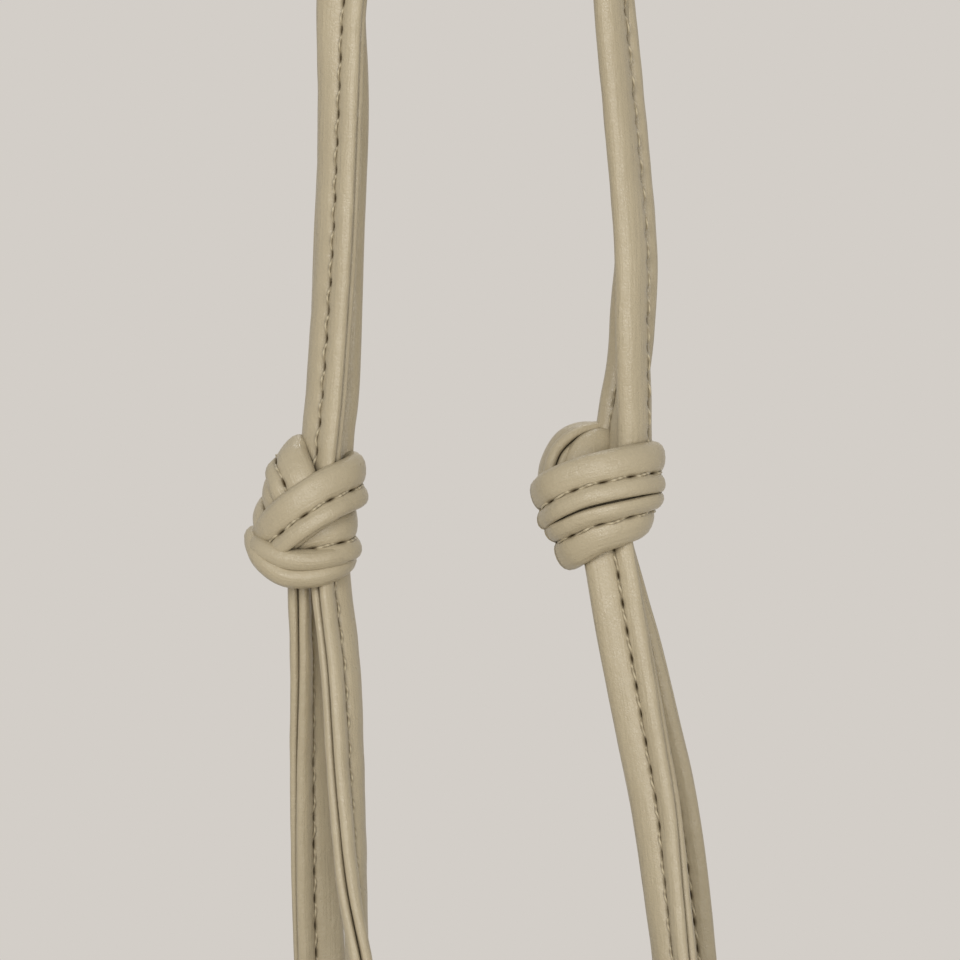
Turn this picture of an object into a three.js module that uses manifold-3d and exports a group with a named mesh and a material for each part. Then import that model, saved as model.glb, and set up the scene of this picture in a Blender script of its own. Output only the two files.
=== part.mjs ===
// A soft leather drawstring pouch that hangs by two knotted straps.
// Millimetres, +Z up, front towards -Y. The origin is the top of the peg that the straps hang over.

import * as THREE from 'three';
import { mergeVertices } from 'three/addons/utils/BufferGeometryUtils.js';
import Module from 'manifold-3d';

const wasm = await Module();
wasm.setup();

// Clearances between neighbours
const SEAT_GAP = 0.3; // pieces that are sewn, glued or clinched together
const FOLD_GAP = 0.5; // the wall's top edge to the mouth flap
const STRAP_GAP = 0.8; // a strap to the eyelet that it passes

// Straps: a leather strip folded double and stitched
const STRAP_WIDTH = 8;
const STRAP_THICKNESS = 3.5;
const STRAP_EDGE = 0.9; // the rounding of its edges
const PAIR_SPACING = 9; // front strap to rear strap in the handle
const PEG_RADIUS = 17;
const PEG_X = -0.5;
const HANDLE_FOOT = 109; // peg to where the handle straps enter the knots

// Knots
const KNOT_DROP = 121.2; // peg to the knots' centres
const KNOT_LEFT_X = -31.7;
const KNOT_RIGHT_X = 13.3;
const KNOT_REACH = 11.9; // centre to the underside
const KNOT_GAP = 0.9; // underside to the upper ends of the drops

// Levels
const HANG_LENGTH = 402; // peg to the underside of the base
const BODY_HEIGHT = 136; // underside of the base to the fold line of the mouth
const BELLY_RISE = 52; // underside of the base to the widest level

// Horizontal sections: half sizes at the corner seams, and how far each wall bows out between them
const BASE_SECTION = { halfWidth: 62, halfDepth: 30, frontBow: 13, sideBow: 18 };
const BELLY_SECTION = { halfWidth: 66, halfDepth: 32, frontBow: 17, sideBow: 24 };
const FOLD_SECTION = { halfWidth: 58, halfDepth: 27, frontBow: 0, sideBow: 12 };
const TONGUE_BOW = 4; // bow at the gusset's upper end
const TONGUE_RISE = 44; // fold line to the gusset's upper end

// Leather, lining and board
const WALL_THICKNESS = 1.8;
const GUSSET_THICKNESS = 2.2;
const SEAM_EDGE = 0.4; // how far a panel's edge stands past the gusset
const LINING_THICKNESS = 0.6;
const LINING_SLACK = 0.6; // the loose lining to the leather
const LINING_MARGIN = 3.5; // lining's edge to the corner seam
const BASE_THICKNESS = 1.7;
const BOARD_THICKNESS = 2;

// Mouth flaps
const FLAP_LENGTH = 62;
const FLAP_LEAN = THREE.MathUtils.degToRad(10);
const FLAP_FOOT_HALF_WIDTH = 57;
const FLAP_TOP_HALF_WIDTH = 52;
const FLAP_CORNER = 10;
const FLAP_THICKNESS = 1.6;
const FACING_THICKNESS = 1;
const FACING_MARGIN = 3; // facing's edge to the flap's edge

// Eyelets
const EYELET_RISE = 40; // fold line to the eyelet centres, along the flap
const EYELET_SPACING = 19;
const EYELET_COUNT = 4;
const EYELET_BORE_RADIUS = 5.1;
const EYELET_WALL = 0.5;
const FLANGE_WIDTH = 2.4;
const FLANGE_THICKNESS = 0.9;
const WASHER_THICKNESS = 0.8;

// Colours
const LEATHER = 0xb5a88a;
const LEATHER_SHADE = 0xa4977a;
const LINING_CLOTH = 0xc9bfa6;
const BOARD_GREY = 0x8c8474;
const BRASS = 0xc2a465;

const BASE_Z = -HANG_LENGTH;
const FOLD_Z = BASE_Z + BODY_HEIGHT;
const BELLY_Z = BASE_Z + BELLY_RISE;
const WALL_FOOT_Z = BASE_Z + BASE_THICKNESS + SEAT_GAP;
const KNOT_Z = -KNOT_DROP;

const pouch = new THREE.Group();

function finish(color, roughness, metalness = 0) {
  return new THREE.MeshStandardMaterial({ color, roughness, metalness });
}

function leather() {
  return finish(LEATHER, 0.55);
}

function addPiece(parent, name, geometry, material) {
  const mesh = new THREE.Mesh(geometry, material);
  mesh.name = name;
  parent.add(mesh);
}

// Closed solids

function solidFrom(positions, triangles) {
  const geometry = new THREE.BufferGeometry();
  geometry.setAttribute('position', new THREE.Float32BufferAttribute(positions, 3));
  geometry.setIndex(triangles);
  return geometry;
}

// A strip of leather between an outside and an inside surface, each given by column and row shares.
function slab(columns, rows, outside, inside) {
  const positions = [];
  for (const surface of [outside, inside]) {
    for (let row = 0; row <= rows; row += 1) {
      for (let column = 0; column <= columns; column += 1) {
        positions.push(...surface(column / columns, row / rows));
      }
    }
  }
  const layer = (columns + 1) * (rows + 1);
  const at = (column, row, depth) => depth * layer + row * (columns + 1) + column;
  const triangles = [];
  const quad = (a, b, c, d) => triangles.push(a, b, c, a, c, d);
  for (let row = 0; row < rows; row += 1) {
    for (let column = 0; column < columns; column += 1) {
      const [right, up] = [column + 1, row + 1];
      quad(at(column, row, 0), at(right, row, 0), at(right, up, 0), at(column, up, 0));
      quad(at(column, row, 1), at(column, up, 1), at(right, up, 1), at(right, row, 1));
    }
  }
  for (let column = 0; column < columns; column += 1) {
    const right = column + 1;
    quad(at(column, 0, 0), at(column, 0, 1), at(right, 0, 1), at(right, 0, 0));
    quad(at(right, rows, 0), at(right, rows, 1), at(column, rows, 1), at(column, rows, 0));
  }
  for (let row = 0; row < rows; row += 1) {
    const up = row + 1;
    quad(at(0, up, 0), at(0, up, 1), at(0, row, 1), at(0, row, 0));
    quad(at(columns, row, 0), at(columns, row, 1), at(columns, up, 1), at(columns, up, 0));
  }
  return solidFrom(positions, triangles);
}

// The strap's section: a flat octagon, width first.
function strapSection() {
  const [w, t, r] = [STRAP_WIDTH / 2, STRAP_THICKNESS / 2, STRAP_EDGE];
  return [
    [w, t - r], [w - r, t], [r - w, t], [-w, t - r],
    [-w, r - t], [r - w, -t], [w - r, -t], [w, r - t],
  ];
}

// Carries the strap's section along points, with its width towards the direction given at each point.
function sweep(centres, widthDirections, closed = false) {
  const section = strapSection();
  const [rings, sides] = [centres.length, section.length];
  const step = (i) => (closed ? (i + rings) % rings : THREE.MathUtils.clamp(i, 0, rings - 1));
  const positions = [];
  centres.forEach((centre, i) => {
    const along = centres[step(i + 1)].clone().sub(centres[step(i - 1)]).normalize();
    const across = widthDirections[i].clone();
    across.addScaledVector(along, -along.dot(across)).normalize();
    const out = along.clone().cross(across);
    for (const [w, t] of section) {
      positions.push(...centre.clone().addScaledVector(across, w).addScaledVector(out, t).toArray());
    }
  });
  const triangles = [];
  const spans = closed ? rings : rings - 1;
  for (let ring = 0; ring < spans; ring += 1) {
    const [here, next] = [ring * sides, step(ring + 1) * sides];
    for (let side = 0; side < sides; side += 1) {
      const other = (side + 1) % sides;
      triangles.push(here + side, here + other, next + other);
      triangles.push(here + side, next + other, next + side);
    }
  }
  if (!closed) {
    const last = (rings - 1) * sides;
    for (let side = 1; side < sides - 1; side += 1) {
      triangles.push(0, side + 1, side, last, last + side, last + side + 1);
    }
  }
  return solidFrom(positions, triangles);
}

// A strap's turn: 0 shows its face to the front, 90 brings its stitched edge to the front.
function turned(degrees) {
  const angle = THREE.MathUtils.degToRad(degrees);
  return new THREE.Vector3(Math.cos(angle), -Math.sin(angle), 0);
}

// A strap along a smooth curve through its route, with the width direction blended from point to point.
function strapAlong(route, steps) {
  const curve = new THREE.CatmullRomCurve3(route.map((stop) => stop.at));
  const centres = [];
  const widths = [];
  for (let i = 0; i <= steps; i += 1) {
    const share = i / steps;
    const place = share * (route.length - 1);
    const from = Math.min(Math.floor(place), route.length - 2);
    centres.push(curve.getPoint(share));
    widths.push(route[from].width.clone().lerp(route[from + 1].width, place - from));
  }
  return sweep(centres, widths);
}

function toSolid(geometry) {
  const bare = geometry.clone();
  bare.deleteAttribute('normal');
  bare.deleteAttribute('uv');
  const merged = mergeVertices(bare);
  return new wasm.Manifold(new wasm.Mesh({
    numProp: 3,
    vertProperties: new Float32Array(merged.attributes.position.array),
    triVerts: new Uint32Array(merged.index.array),
  }));
}

function toGeometry(solid) {
  const mesh = solid.getMesh();
  return solidFrom(Array.from(mesh.vertProperties), Array.from(mesh.triVerts));
}

// Handle straps: from the left knot over the peg to the right knot

// Each stop: x, z and the strap's turn in degrees, from the left knot up to the peg.
const LEFT_LEG = [
  [-30.3, -HANDLE_FOOT, 58], [-29.2, -99, 58], [-27, -80, 56], [-24.6, -61, 48],
  [-22.5, -44, 29], [-20.7, -33, -10], [-19.5, -24, -55],
];
// From the peg down to the right knot.
const RIGHT_LEG = [
  [18.5, -24, -84], [18.7, -34, -76], [19, -45, -68], [19.9, -60, -65],
  [20.8, -81, -65], [19.6, -97, -65], [17.6, -HANDLE_FOOT, -65],
];
const PEG_TURN = -90;
const PEG_STOPS = 8;

function handleStops() {
  const radius = PEG_RADIUS + STRAP_THICKNESS / 2;
  const overPeg = [];
  for (let i = 0; i <= PEG_STOPS; i += 1) {
    const angle = Math.PI * (1 - i / PEG_STOPS);
    overPeg.push([PEG_X + radius * Math.cos(angle), radius * Math.sin(angle) - PEG_RADIUS, PEG_TURN]);
  }
  return [...LEFT_LEG, ...overPeg, ...RIGHT_LEG];
}

function handleStrap(side) {
  const y = (side * PAIR_SPACING) / 2;
  const route = handleStops().map(([x, z, turn]) => ({ at: new THREE.Vector3(x, y, z), width: turned(turn) }));
  return strapAlong(route, 44);
}

addPiece(pouch, 'handle_strap_front', handleStrap(-1), leather());
addPiece(pouch, 'handle_strap_rear', handleStrap(1), leather());

// Knots: bands of strap wrapped round a core, with the stubs that the handle straps meet

// Each band: middle (x, y, z from the knot's centre), half sizes across and through, and the rise
// to the right and lean to the back of its plane in degrees.
const LEFT_BANDS = [
  { middle: [0.3, 0, 0.6], across: 7.6, through: 6.4, rise: 27, lean: 4 },
  { middle: [-0.2, 0, -6.6], across: 7.7, through: 6.2, rise: 3, lean: -4 },
  { middle: [-1.2, 0.4, 5], across: 6, through: 5.6, rise: -38, lean: 8 },
];
const RIGHT_BANDS = [
  { middle: [0.2, 0, 2.6], across: 8.4, through: 6.8, rise: 10, lean: 5 },
  { middle: [0.4, 0, -5.4], across: 7.4, through: 6.4, rise: 13, lean: -5 },
  { middle: [-2.6, 1.6, 5.6], across: 5.6, through: 4.6, rise: -34, lean: 14 },
];
const CORE = [8.2, 6.9, 11.4]; // half sizes
const CORE_DROP = 1.5; // its middle below the knot's centre
const BAND_STEPS = 16;
const STUB_DEPTH = 7;
const STUB_GAP = 0.6; // a handle strap's end to its stub

function band({ middle, across, through, rise, lean }) {
  const tilt = new THREE.Euler(
    THREE.MathUtils.degToRad(lean), THREE.MathUtils.degToRad(-rise), 0,
  );
  const axis = new THREE.Vector3(0, 0, 1).applyEuler(tilt);
  const centres = [];
  for (let i = 0; i < BAND_STEPS; i += 1) {
    const angle = (2 * Math.PI * i) / BAND_STEPS;
    const point = new THREE.Vector3(across * Math.cos(angle), through * Math.sin(angle), 0);
    centres.push(point.applyEuler(tilt).add(new THREE.Vector3(...middle)));
  }
  return sweep(centres, centres.map(() => axis), true);
}

function knot(x, bands, legEnd, legBefore) {
  const [legX, legZ, legTurn] = legEnd;
  const inwards = new THREE.Vector3(legX - legBefore[0], 0, legZ - legBefore[1]).normalize();
  const core = new THREE.SphereGeometry(1, 12, 8).rotateX(Math.PI / 2).scale(...CORE).translate(0, 0, -CORE_DROP);
  let solid = toSolid(core);
  for (const wrap of bands) solid = solid.add(toSolid(band(wrap)));
  for (const side of [-1, 1]) {
    const legFoot = new THREE.Vector3(legX - x, (side * PAIR_SPACING) / 2, legZ - KNOT_Z);
    const top = legFoot.clone().addScaledVector(inwards, STUB_GAP);
    const foot = legFoot.clone().addScaledVector(inwards, STUB_GAP + STUB_DEPTH);
    solid = solid.add(toSolid(sweep([foot, top], [turned(legTurn), turned(legTurn)])));
  }
  // The underside keeps inside one round, so that the drops can swing under it.
  const swing = new THREE.CylinderGeometry(KNOT_REACH, KNOT_REACH, 4 * KNOT_REACH, 48);
  const above = new THREE.BoxGeometry(4 * KNOT_REACH, 4 * KNOT_REACH, 2 * KNOT_REACH);
  const bounds = toSolid(swing.rotateZ(Math.PI / 2)).add(toSolid(above.translate(0, 0, KNOT_REACH)));
  return toGeometry(solid.intersect(bounds)).translate(x, 0, KNOT_Z);
}

addPiece(pouch, 'knot_left', knot(KNOT_LEFT_X, LEFT_BANDS, LEFT_LEG[0], LEFT_LEG[1]), leather());
addPiece(pouch, 'knot_right', knot(KNOT_RIGHT_X, RIGHT_BANDS, RIGHT_LEG.at(-1), RIGHT_LEG.at(-2)), leather());

// Walls: two panels and two gussets, sewn at the corners

function mixSections(from, to, share) {
  const mixed = {};
  for (const key of Object.keys(from)) mixed[key] = THREE.MathUtils.lerp(from[key], to[key], share);
  return mixed;
}

function sectionAt(z) {
  if (z > FOLD_Z) {
    const rise = z - FOLD_Z;
    return {
      halfWidth: FOLD_SECTION.halfWidth,
      halfDepth: FOLD_SECTION.halfDepth - rise * Math.tan(FLAP_LEAN),
      frontBow: 0,
      sideBow: THREE.MathUtils.lerp(FOLD_SECTION.sideBow, TONGUE_BOW, rise / TONGUE_RISE),
    };
  }
  if (z < BELLY_Z) {
    return mixSections(BELLY_SECTION, BASE_SECTION, ((BELLY_Z - z) / (BELLY_Z - BASE_Z)) ** 2);
  }
  const share = (z - BELLY_Z) / (FOLD_Z - BELLY_Z);
  return mixSections(BELLY_SECTION, FOLD_SECTION, (1 - Math.cos(Math.PI * share)) / 2);
}

function frontY({ halfWidth, halfDepth, frontBow }, x) {
  return -halfDepth - frontBow * Math.max(0, 1 - (x / halfWidth) ** 2);
}

function sideX({ halfWidth, halfDepth, sideBow }, y) {
  return halfWidth + sideBow * (1 - (y / halfDepth) ** 2);
}

// Half the gusset's width at a level: its edges butt against the insides of the panels.
function gussetReach(section) {
  return section.halfDepth - WALL_THICKNESS - SEAT_GAP;
}

// A skin of the front wall, from one depth under the leather's outside to another.
function frontSkin(reach, from, to) {
  const surface = (depth) => (u, v) => {
    const z = THREE.MathUtils.lerp(WALL_FOOT_Z, FOLD_Z - FOLD_GAP / 2, v);
    const section = sectionAt(z);
    const x = (2 * u - 1) * reach(section);
    return [x, frontY(section, x) + depth, z];
  };
  return slab(12, 9, surface(from), surface(to));
}

// A skin of the right-hand gusset, in the same way.
function gussetSkin(reach, from, to) {
  const surface = (depth) => (u, v) => {
    const z = THREE.MathUtils.lerp(WALL_FOOT_Z, FOLD_Z + TONGUE_RISE, v);
    const section = sectionAt(z);
    const y = (2 * u - 1) * reach(section);
    return [sideX(section, y) - depth, y, z];
  };
  return slab(8, 12, surface(from), surface(to));
}

function frontPanel() {
  const reach = (section) => sideX(section, gussetReach(section)) + SEAM_EDGE;
  return frontSkin(reach, 0, WALL_THICKNESS);
}

function frontLining() {
  const reach = (section) => section.halfWidth - LINING_MARGIN;
  const from = WALL_THICKNESS + LINING_SLACK;
  return frontSkin(reach, from, from + LINING_THICKNESS);
}

function gusset() {
  return gussetSkin(gussetReach, 0, GUSSET_THICKNESS);
}

function gussetLining() {
  const reach = (section) => gussetReach(section) - LINING_MARGIN;
  const from = GUSSET_THICKNESS + LINING_SLACK;
  return gussetSkin(reach, from, from + LINING_THICKNESS);
}

// Base: leather outside, a stiffening board and the lining over it

const OUTLINE_STEPS = 10;

function baseOutline(inset) {
  const { halfWidth, halfDepth, frontBow, sideBow } = sectionAt(BASE_Z);
  const section = { halfWidth: halfWidth - inset, halfDepth: halfDepth - inset, frontBow, sideBow };
  const points = [];
  for (const turn of [1, -1]) {
    for (let i = 0; i < OUTLINE_STEPS; i += 1) {
      const x = section.halfWidth * ((2 * i) / OUTLINE_STEPS - 1);
      points.push(new THREE.Vector2(turn * x, turn * frontY(section, x)));
    }
    for (let i = 0; i < OUTLINE_STEPS; i += 1) {
      const y = section.halfDepth * ((2 * i) / OUTLINE_STEPS - 1);
      points.push(new THREE.Vector2(turn * sideX(section, y), turn * y));
    }
  }
  return new THREE.Shape(points);
}

function baseLayer(inset, footZ, thickness) {
  const geometry = new THREE.ExtrudeGeometry(baseOutline(inset), { depth: thickness, bevelEnabled: false });
  return geometry.translate(0, 0, footZ);
}

const BOARD_INSET = GUSSET_THICKNESS + LINING_SLACK + LINING_THICKNESS + SEAT_GAP;
const BOARD_Z = BASE_Z + BASE_THICKNESS + SEAT_GAP;
const BASE_LINING_Z = BOARD_Z + BOARD_THICKNESS + SEAT_GAP;

addPiece(pouch, 'base_panel', baseLayer(0, BASE_Z, BASE_THICKNESS), leather());
addPiece(pouch, 'base_board', baseLayer(BOARD_INSET, BOARD_Z, BOARD_THICKNESS), finish(BOARD_GREY, 0.9));
addPiece(
  pouch, 'base_lining', baseLayer(BOARD_INSET, BASE_LINING_Z, LINING_THICKNESS), finish(LINING_CLOTH, 0.9),
);

// Mouth flap: x across, y inwards from its outside, z up from the fold line

const FACING_Y = FLAP_THICKNESS + SEAT_GAP;
const WASHER_Y = FACING_Y + FACING_THICKNESS + SEAT_GAP;
const EYELET_END_Y = WASHER_Y + WASHER_THICKNESS;
const FLANGE_Y = -SEAT_GAP - FLANGE_THICKNESS;
const BARREL_RADIUS = EYELET_BORE_RADIUS + EYELET_WALL;
const FLANGE_RADIUS = BARREL_RADIUS + FLANGE_WIDTH;
const LACING_OUT_Y = FLANGE_Y - STRAP_GAP - STRAP_THICKNESS / 2;
const LACING_IN_Y = EYELET_END_Y + STRAP_GAP + STRAP_THICKNESS / 2;

function eyeletX(index) {
  return (index - (EYELET_COUNT - 1) / 2) * EYELET_SPACING;
}

function flapPlate(inset, outsideY, thickness) {
  const [foot, top] = [FLAP_FOOT_HALF_WIDTH - inset, FLAP_TOP_HALF_WIDTH - inset];
  const [footZ, topZ] = [FOLD_GAP / 2 + inset, FLAP_LENGTH - inset];
  const corner = Math.min(FLAP_CORNER, top, topZ - footZ);
  const shape = new THREE.Shape();
  shape.moveTo(-foot, footZ);
  shape.lineTo(foot, footZ);
  shape.lineTo(top, topZ - corner);
  shape.quadraticCurveTo(top, topZ, top - corner, topZ);
  shape.lineTo(corner - top, topZ);
  shape.quadraticCurveTo(-top, topZ, -top, topZ - corner);
  shape.closePath();
  for (let i = 0; i < EYELET_COUNT; i += 1) {
    const hole = new THREE.Path();
    hole.absarc(eyeletX(i), EYELET_RISE, BARREL_RADIUS + SEAT_GAP, 0, 2 * Math.PI, true);
    shape.holes.push(hole);
  }
  const options = { depth: thickness, bevelEnabled: false, curveSegments: 7 };
  const plate = new THREE.ExtrudeGeometry(shape, options).rotateX(Math.PI / 2);
  return plate.translate(0, outsideY + thickness, 0);
}

// A ring round the y axis from its corners (radius, y), listed from the bore outwards and back.
function ring(corners) {
  const profile = [...corners, corners[0]].map(([radius, y]) => new THREE.Vector2(radius, y));
  return new THREE.LatheGeometry(profile, 12);
}

function eyelet() {
  return ring([
    [EYELET_BORE_RADIUS, FLANGE_Y], [FLANGE_RADIUS, FLANGE_Y], [FLANGE_RADIUS, -SEAT_GAP],
    [BARREL_RADIUS, -SEAT_GAP], [BARREL_RADIUS, EYELET_END_Y], [EYELET_BORE_RADIUS, EYELET_END_Y],
  ]);
}

function washer() {
  const bore = BARREL_RADIUS + SEAT_GAP;
  return ring([
    [bore, WASHER_Y], [FLANGE_RADIUS, WASHER_Y], [FLANGE_RADIUS, EYELET_END_Y], [bore, EYELET_END_Y],
  ]);
}

// The lacing comes out of the first eyelet, goes in at the second, and so on to the last.
const LACING_BEND = 2.6; // radius of its bends, at the strap's middle

function lacing() {
  const up = new THREE.Vector3(0, 0, 1);
  const route = [];
  const stop = (x, y) => route.push({ at: new THREE.Vector3(x, y, EYELET_RISE), width: up });
  const [near, far] = [LACING_BEND * 0.3, LACING_BEND];
  stop(eyeletX(0), EYELET_END_Y);
  for (let i = 0; i < EYELET_COUNT - 1; i += 1) {
    const [from, to] = [eyeletX(i), eyeletX(i + 1)];
    const runY = i % 2 === 0 ? LACING_OUT_Y : LACING_IN_Y;
    const back = i % 2 === 0 ? 1 : -1;
    stop(from, runY + back * far);
    stop(from + near, runY + back * near);
    stop(from + far, runY);
    stop(to - far, runY);
    stop(to - near, runY + back * near);
    stop(to, runY + back * far);
  }
  stop(eyeletX(EYELET_COUNT - 1), EYELET_END_Y);
  return strapAlong(route, 2 * (route.length - 1));
}

function mouth(side) {
  const flap = new THREE.Group();
  flap.position.set(0, -FOLD_SECTION.halfDepth, FOLD_Z);
  flap.rotation.x = -FLAP_LEAN;
  addPiece(flap, `${side}_flap`, flapPlate(0, 0, FLAP_THICKNESS), leather());
  const facing = flapPlate(FACING_MARGIN, FACING_Y, FACING_THICKNESS);
  addPiece(flap, `${side}_facing`, facing, finish(LEATHER_SHADE, 0.7));
  for (let i = 0; i < EYELET_COUNT; i += 1) {
    const seat = new THREE.Group();
    seat.position.set(eyeletX(i), 0, EYELET_RISE);
    addPiece(seat, `${side}_eyelet_${i + 1}`, eyelet(), finish(BRASS, 0.3, 1));
    addPiece(seat, `${side}_washer_${i + 1}`, washer(), finish(BRASS, 0.35, 1));
    flap.add(seat);
  }
  addPiece(flap, `${side}_lacing`, lacing(), leather());
  return flap;
}

// The rear half is the front half turned round.
for (const [side, hand, turn] of [['front', 'right', 0], ['rear', 'left', Math.PI]]) {
  const half = new THREE.Group();
  half.rotation.z = turn;
  addPiece(half, `${side}_panel`, frontPanel(), leather());
  addPiece(half, `${side}_lining`, frontLining(), finish(LINING_CLOTH, 0.9));
  addPiece(half, `gusset_${hand}`, gusset(), leather());
  addPiece(half, `gusset_lining_${hand}`, gussetLining(), finish(LINING_CLOTH, 0.9));
  half.add(mouth(side));
  pouch.add(half);
}

// Drops: from the knots' undersides to the insides of the outermost eyelets

const DROP_FOOT = 2.2; // end of the drop above the eyelet's centre line
const DROP_TOP_Y = 2.1; // the pair's straps lie against each other at the knot

// Each stop: share of the way down, x and the strap's turn. The last share meets the eyelet.
const DROPS = {
  front_drop_left: [
    [0, -28.1, 130], [0.18, -27.5, 124], [0.4, -26.8, 112], [0.62, -26.2, 88], [0.72, -26.4, 36],
    [0.8, -27, 3], [0.9, -28, 0],
  ],
  front_drop_right: [
    [0, 15.1, 0], [0.18, 16.8, 12], [0.4, 19.4, 30], [0.62, 22.1, 48], [0.72, 23.8, 18],
    [0.8, 25.4, 3], [0.9, 27.4, 0],
  ],
  rear_drop_left: [
    [0, -32.6, 90], [0.18, -33, 92], [0.4, -33.2, 104], [0.62, -33, 126], [0.72, -32, 160],
    [0.8, -31, 177], [0.9, -29.4, 180],
  ],
  rear_drop_right: [
    [0, 17.6, 10], [0.18, 20, 18], [0.4, 23.2, 30], [0.62, 26.2, 42], [0.72, 27.4, 16],
    [0.8, 28.2, 3], [0.9, 28.6, 0],
  ],
};

function drop(name) {
  const [depthSide, widthSide] = [name.startsWith('front') ? -1 : 1, name.endsWith('left') ? -1 : 1];
  const [lean, height] = [FLAP_LEAN, EYELET_RISE + DROP_FOOT];
  const footInward = LACING_IN_Y * Math.cos(lean) + height * Math.sin(lean);
  const foot = new THREE.Vector3(
    widthSide * eyeletX(EYELET_COUNT - 1),
    depthSide * (FOLD_SECTION.halfDepth - footInward),
    FOLD_Z - LACING_IN_Y * Math.sin(lean) + height * Math.cos(lean),
  );
  const topZ = KNOT_Z - KNOT_REACH - KNOT_GAP;
  const route = DROPS[name].map(([share, x, turn]) => {
    const y = THREE.MathUtils.lerp(depthSide * DROP_TOP_Y, foot.y, share);
    return { at: new THREE.Vector3(x, y, THREE.MathUtils.lerp(topZ, foot.z, share)), width: turned(turn) };
  });
  route.push({ at: foot, width: route.at(-1).width });
  return strapAlong(route, 15);
}

for (const name of Object.keys(DROPS)) addPiece(pouch, name, drop(name), leather());

export default pouch;
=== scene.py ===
# %% [markdown]
# # A leather drawstring pouch on knotted straps
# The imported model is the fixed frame: its solids carry the sizes and the joints. This lesson dresses
# them, one kind of piece at a time: camera and light, finishes, straps, knots, then the pouch itself.

# %% Load the frame
import math

import bpy
import numpy as np
from mathutils import Matrix, Vector


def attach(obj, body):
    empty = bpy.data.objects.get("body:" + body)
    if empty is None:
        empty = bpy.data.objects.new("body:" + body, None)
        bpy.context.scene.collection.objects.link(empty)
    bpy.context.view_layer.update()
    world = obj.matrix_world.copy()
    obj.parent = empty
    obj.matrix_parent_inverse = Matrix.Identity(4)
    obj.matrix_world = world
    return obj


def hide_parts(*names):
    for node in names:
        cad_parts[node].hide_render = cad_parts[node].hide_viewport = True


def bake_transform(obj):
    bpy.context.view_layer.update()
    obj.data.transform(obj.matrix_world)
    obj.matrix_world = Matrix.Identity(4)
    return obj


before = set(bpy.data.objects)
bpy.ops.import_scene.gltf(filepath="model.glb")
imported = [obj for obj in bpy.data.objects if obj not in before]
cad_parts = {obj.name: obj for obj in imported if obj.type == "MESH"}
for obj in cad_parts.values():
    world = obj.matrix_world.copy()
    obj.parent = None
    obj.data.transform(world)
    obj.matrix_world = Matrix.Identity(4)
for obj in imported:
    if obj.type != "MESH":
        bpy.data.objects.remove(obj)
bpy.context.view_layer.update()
MM = 0.001

# %% [markdown]
# ## Camera
# The picture looks straight at the hanging straps with a long lens, so hardly any perspective shows.
# It is turned by about two degrees, so that plumb lines lean a little. Strap stops further down are
# given in the picture's own plane, in millimetres right of and above its middle, and this cell makes
# the one function that brings such a stop into the object's frame.

# %% Camera
PICTURE_WIDTH = 147.7 * MM
PICTURE_MIDDLE = np.array([-4.62, 0.0, -117.7]) * MM
CAMERA_DISTANCE = 0.6
CAMERA_TURN = math.radians(2.36)
SENSOR_MM = 36.0

right_axis = np.array([math.cos(CAMERA_TURN), 0.0, -math.sin(CAMERA_TURN)])
up_axis = np.array([math.sin(CAMERA_TURN), 0.0, math.cos(CAMERA_TURN)])
near_axis = np.array([0.0, -1.0, 0.0])


def in_picture(right, up, near=0.0):
    """A point seen that many millimetres from the picture's middle, in the object's frame."""
    shrink = 1 - near * MM / CAMERA_DISTANCE  # a nearer point looks larger
    return PICTURE_MIDDLE + ((right * right_axis + up * up_axis) * shrink + near * near_axis) * MM


camera_data = bpy.data.cameras.new("camera")
camera_data.sensor_width = SENSOR_MM
camera_data.lens = SENSOR_MM * CAMERA_DISTANCE / PICTURE_WIDTH
camera = bpy.data.objects.new("camera", camera_data)
bpy.context.collection.objects.link(camera)
eye = PICTURE_MIDDLE + CAMERA_DISTANCE * near_axis
camera.matrix_world = Matrix([
    [right_axis[i], up_axis[i], near_axis[i], eye[i]] for i in range(3)
] + [[0, 0, 0, 1]])
bpy.context.scene.camera = camera
print("lens %.0f mm" % camera_data.lens)

# %% [markdown]
# ## Colours and nodes
# Colours are written as the sRGB values that one reads off a screen, and turned to the linear values
# that a shader expects. One function adds any node, with its settings and links in one place, and
# hands its inputs to a second, which also fills the inputs of a material's ready-made shader. An input
# goes by its name, or by its number where a node uses one name twice, and output 0 is the first. In a
# colour mix, 0 is the share, 6 and 7 are the two colours and output 2 is the result.

# %% Helpers for materials
def linear(hex_colour):
    """An sRGB hex colour as linear RGBA."""
    shares = [int(hex_colour[i:i + 2], 16) / 255 for i in (1, 3, 5)]
    return tuple(c / 12.92 if c <= 0.04045 else ((c + 0.055) / 1.055) ** 2.4 for c in shares) + (1.0,)


def connect(tree, node, inputs):
    """Fills a node's inputs, each with a plain value or from a (node, output) pair."""
    for socket, value in inputs.items():
        if isinstance(value, tuple) and isinstance(value[0], bpy.types.Node):
            tree.links.new(value[0].outputs[value[1]], node.inputs[socket])
        else:
            node.inputs[socket].default_value = value


def add_node(tree, kind, inputs=None, **settings):
    """Adds a node with its settings and inputs."""
    node = tree.nodes.new(kind)
    for name, value in settings.items():
        setattr(node, name, value)
    connect(tree, node, inputs or {})
    return node


def new_material(name):
    """A new material, with its tree and its Principled shader joined to the output."""
    material = bpy.data.materials.new(name)
    material.use_nodes = True
    tree = material.node_tree
    shader = next(n for n in tree.nodes if n.type == "BSDF_PRINCIPLED")
    return material, tree, shader


print("white is", linear("#ffffff"))

# %% [markdown]
# ## Light and floor
# The light is a plain studio's: a broad lamp in front on the left, a weaker one in front on the right,
# one behind that keeps the rear from going dull, and a small one above and behind that draws thin
# bright edges. The lamp behind isn't mirrored, so it leaves no stray glints on the straps. An even sky
# fills the shadows. The sky that lights the object and the pale ground that the camera sees are set
# apart by the kind of ray, so a pale background never means more light on the leather.

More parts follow.
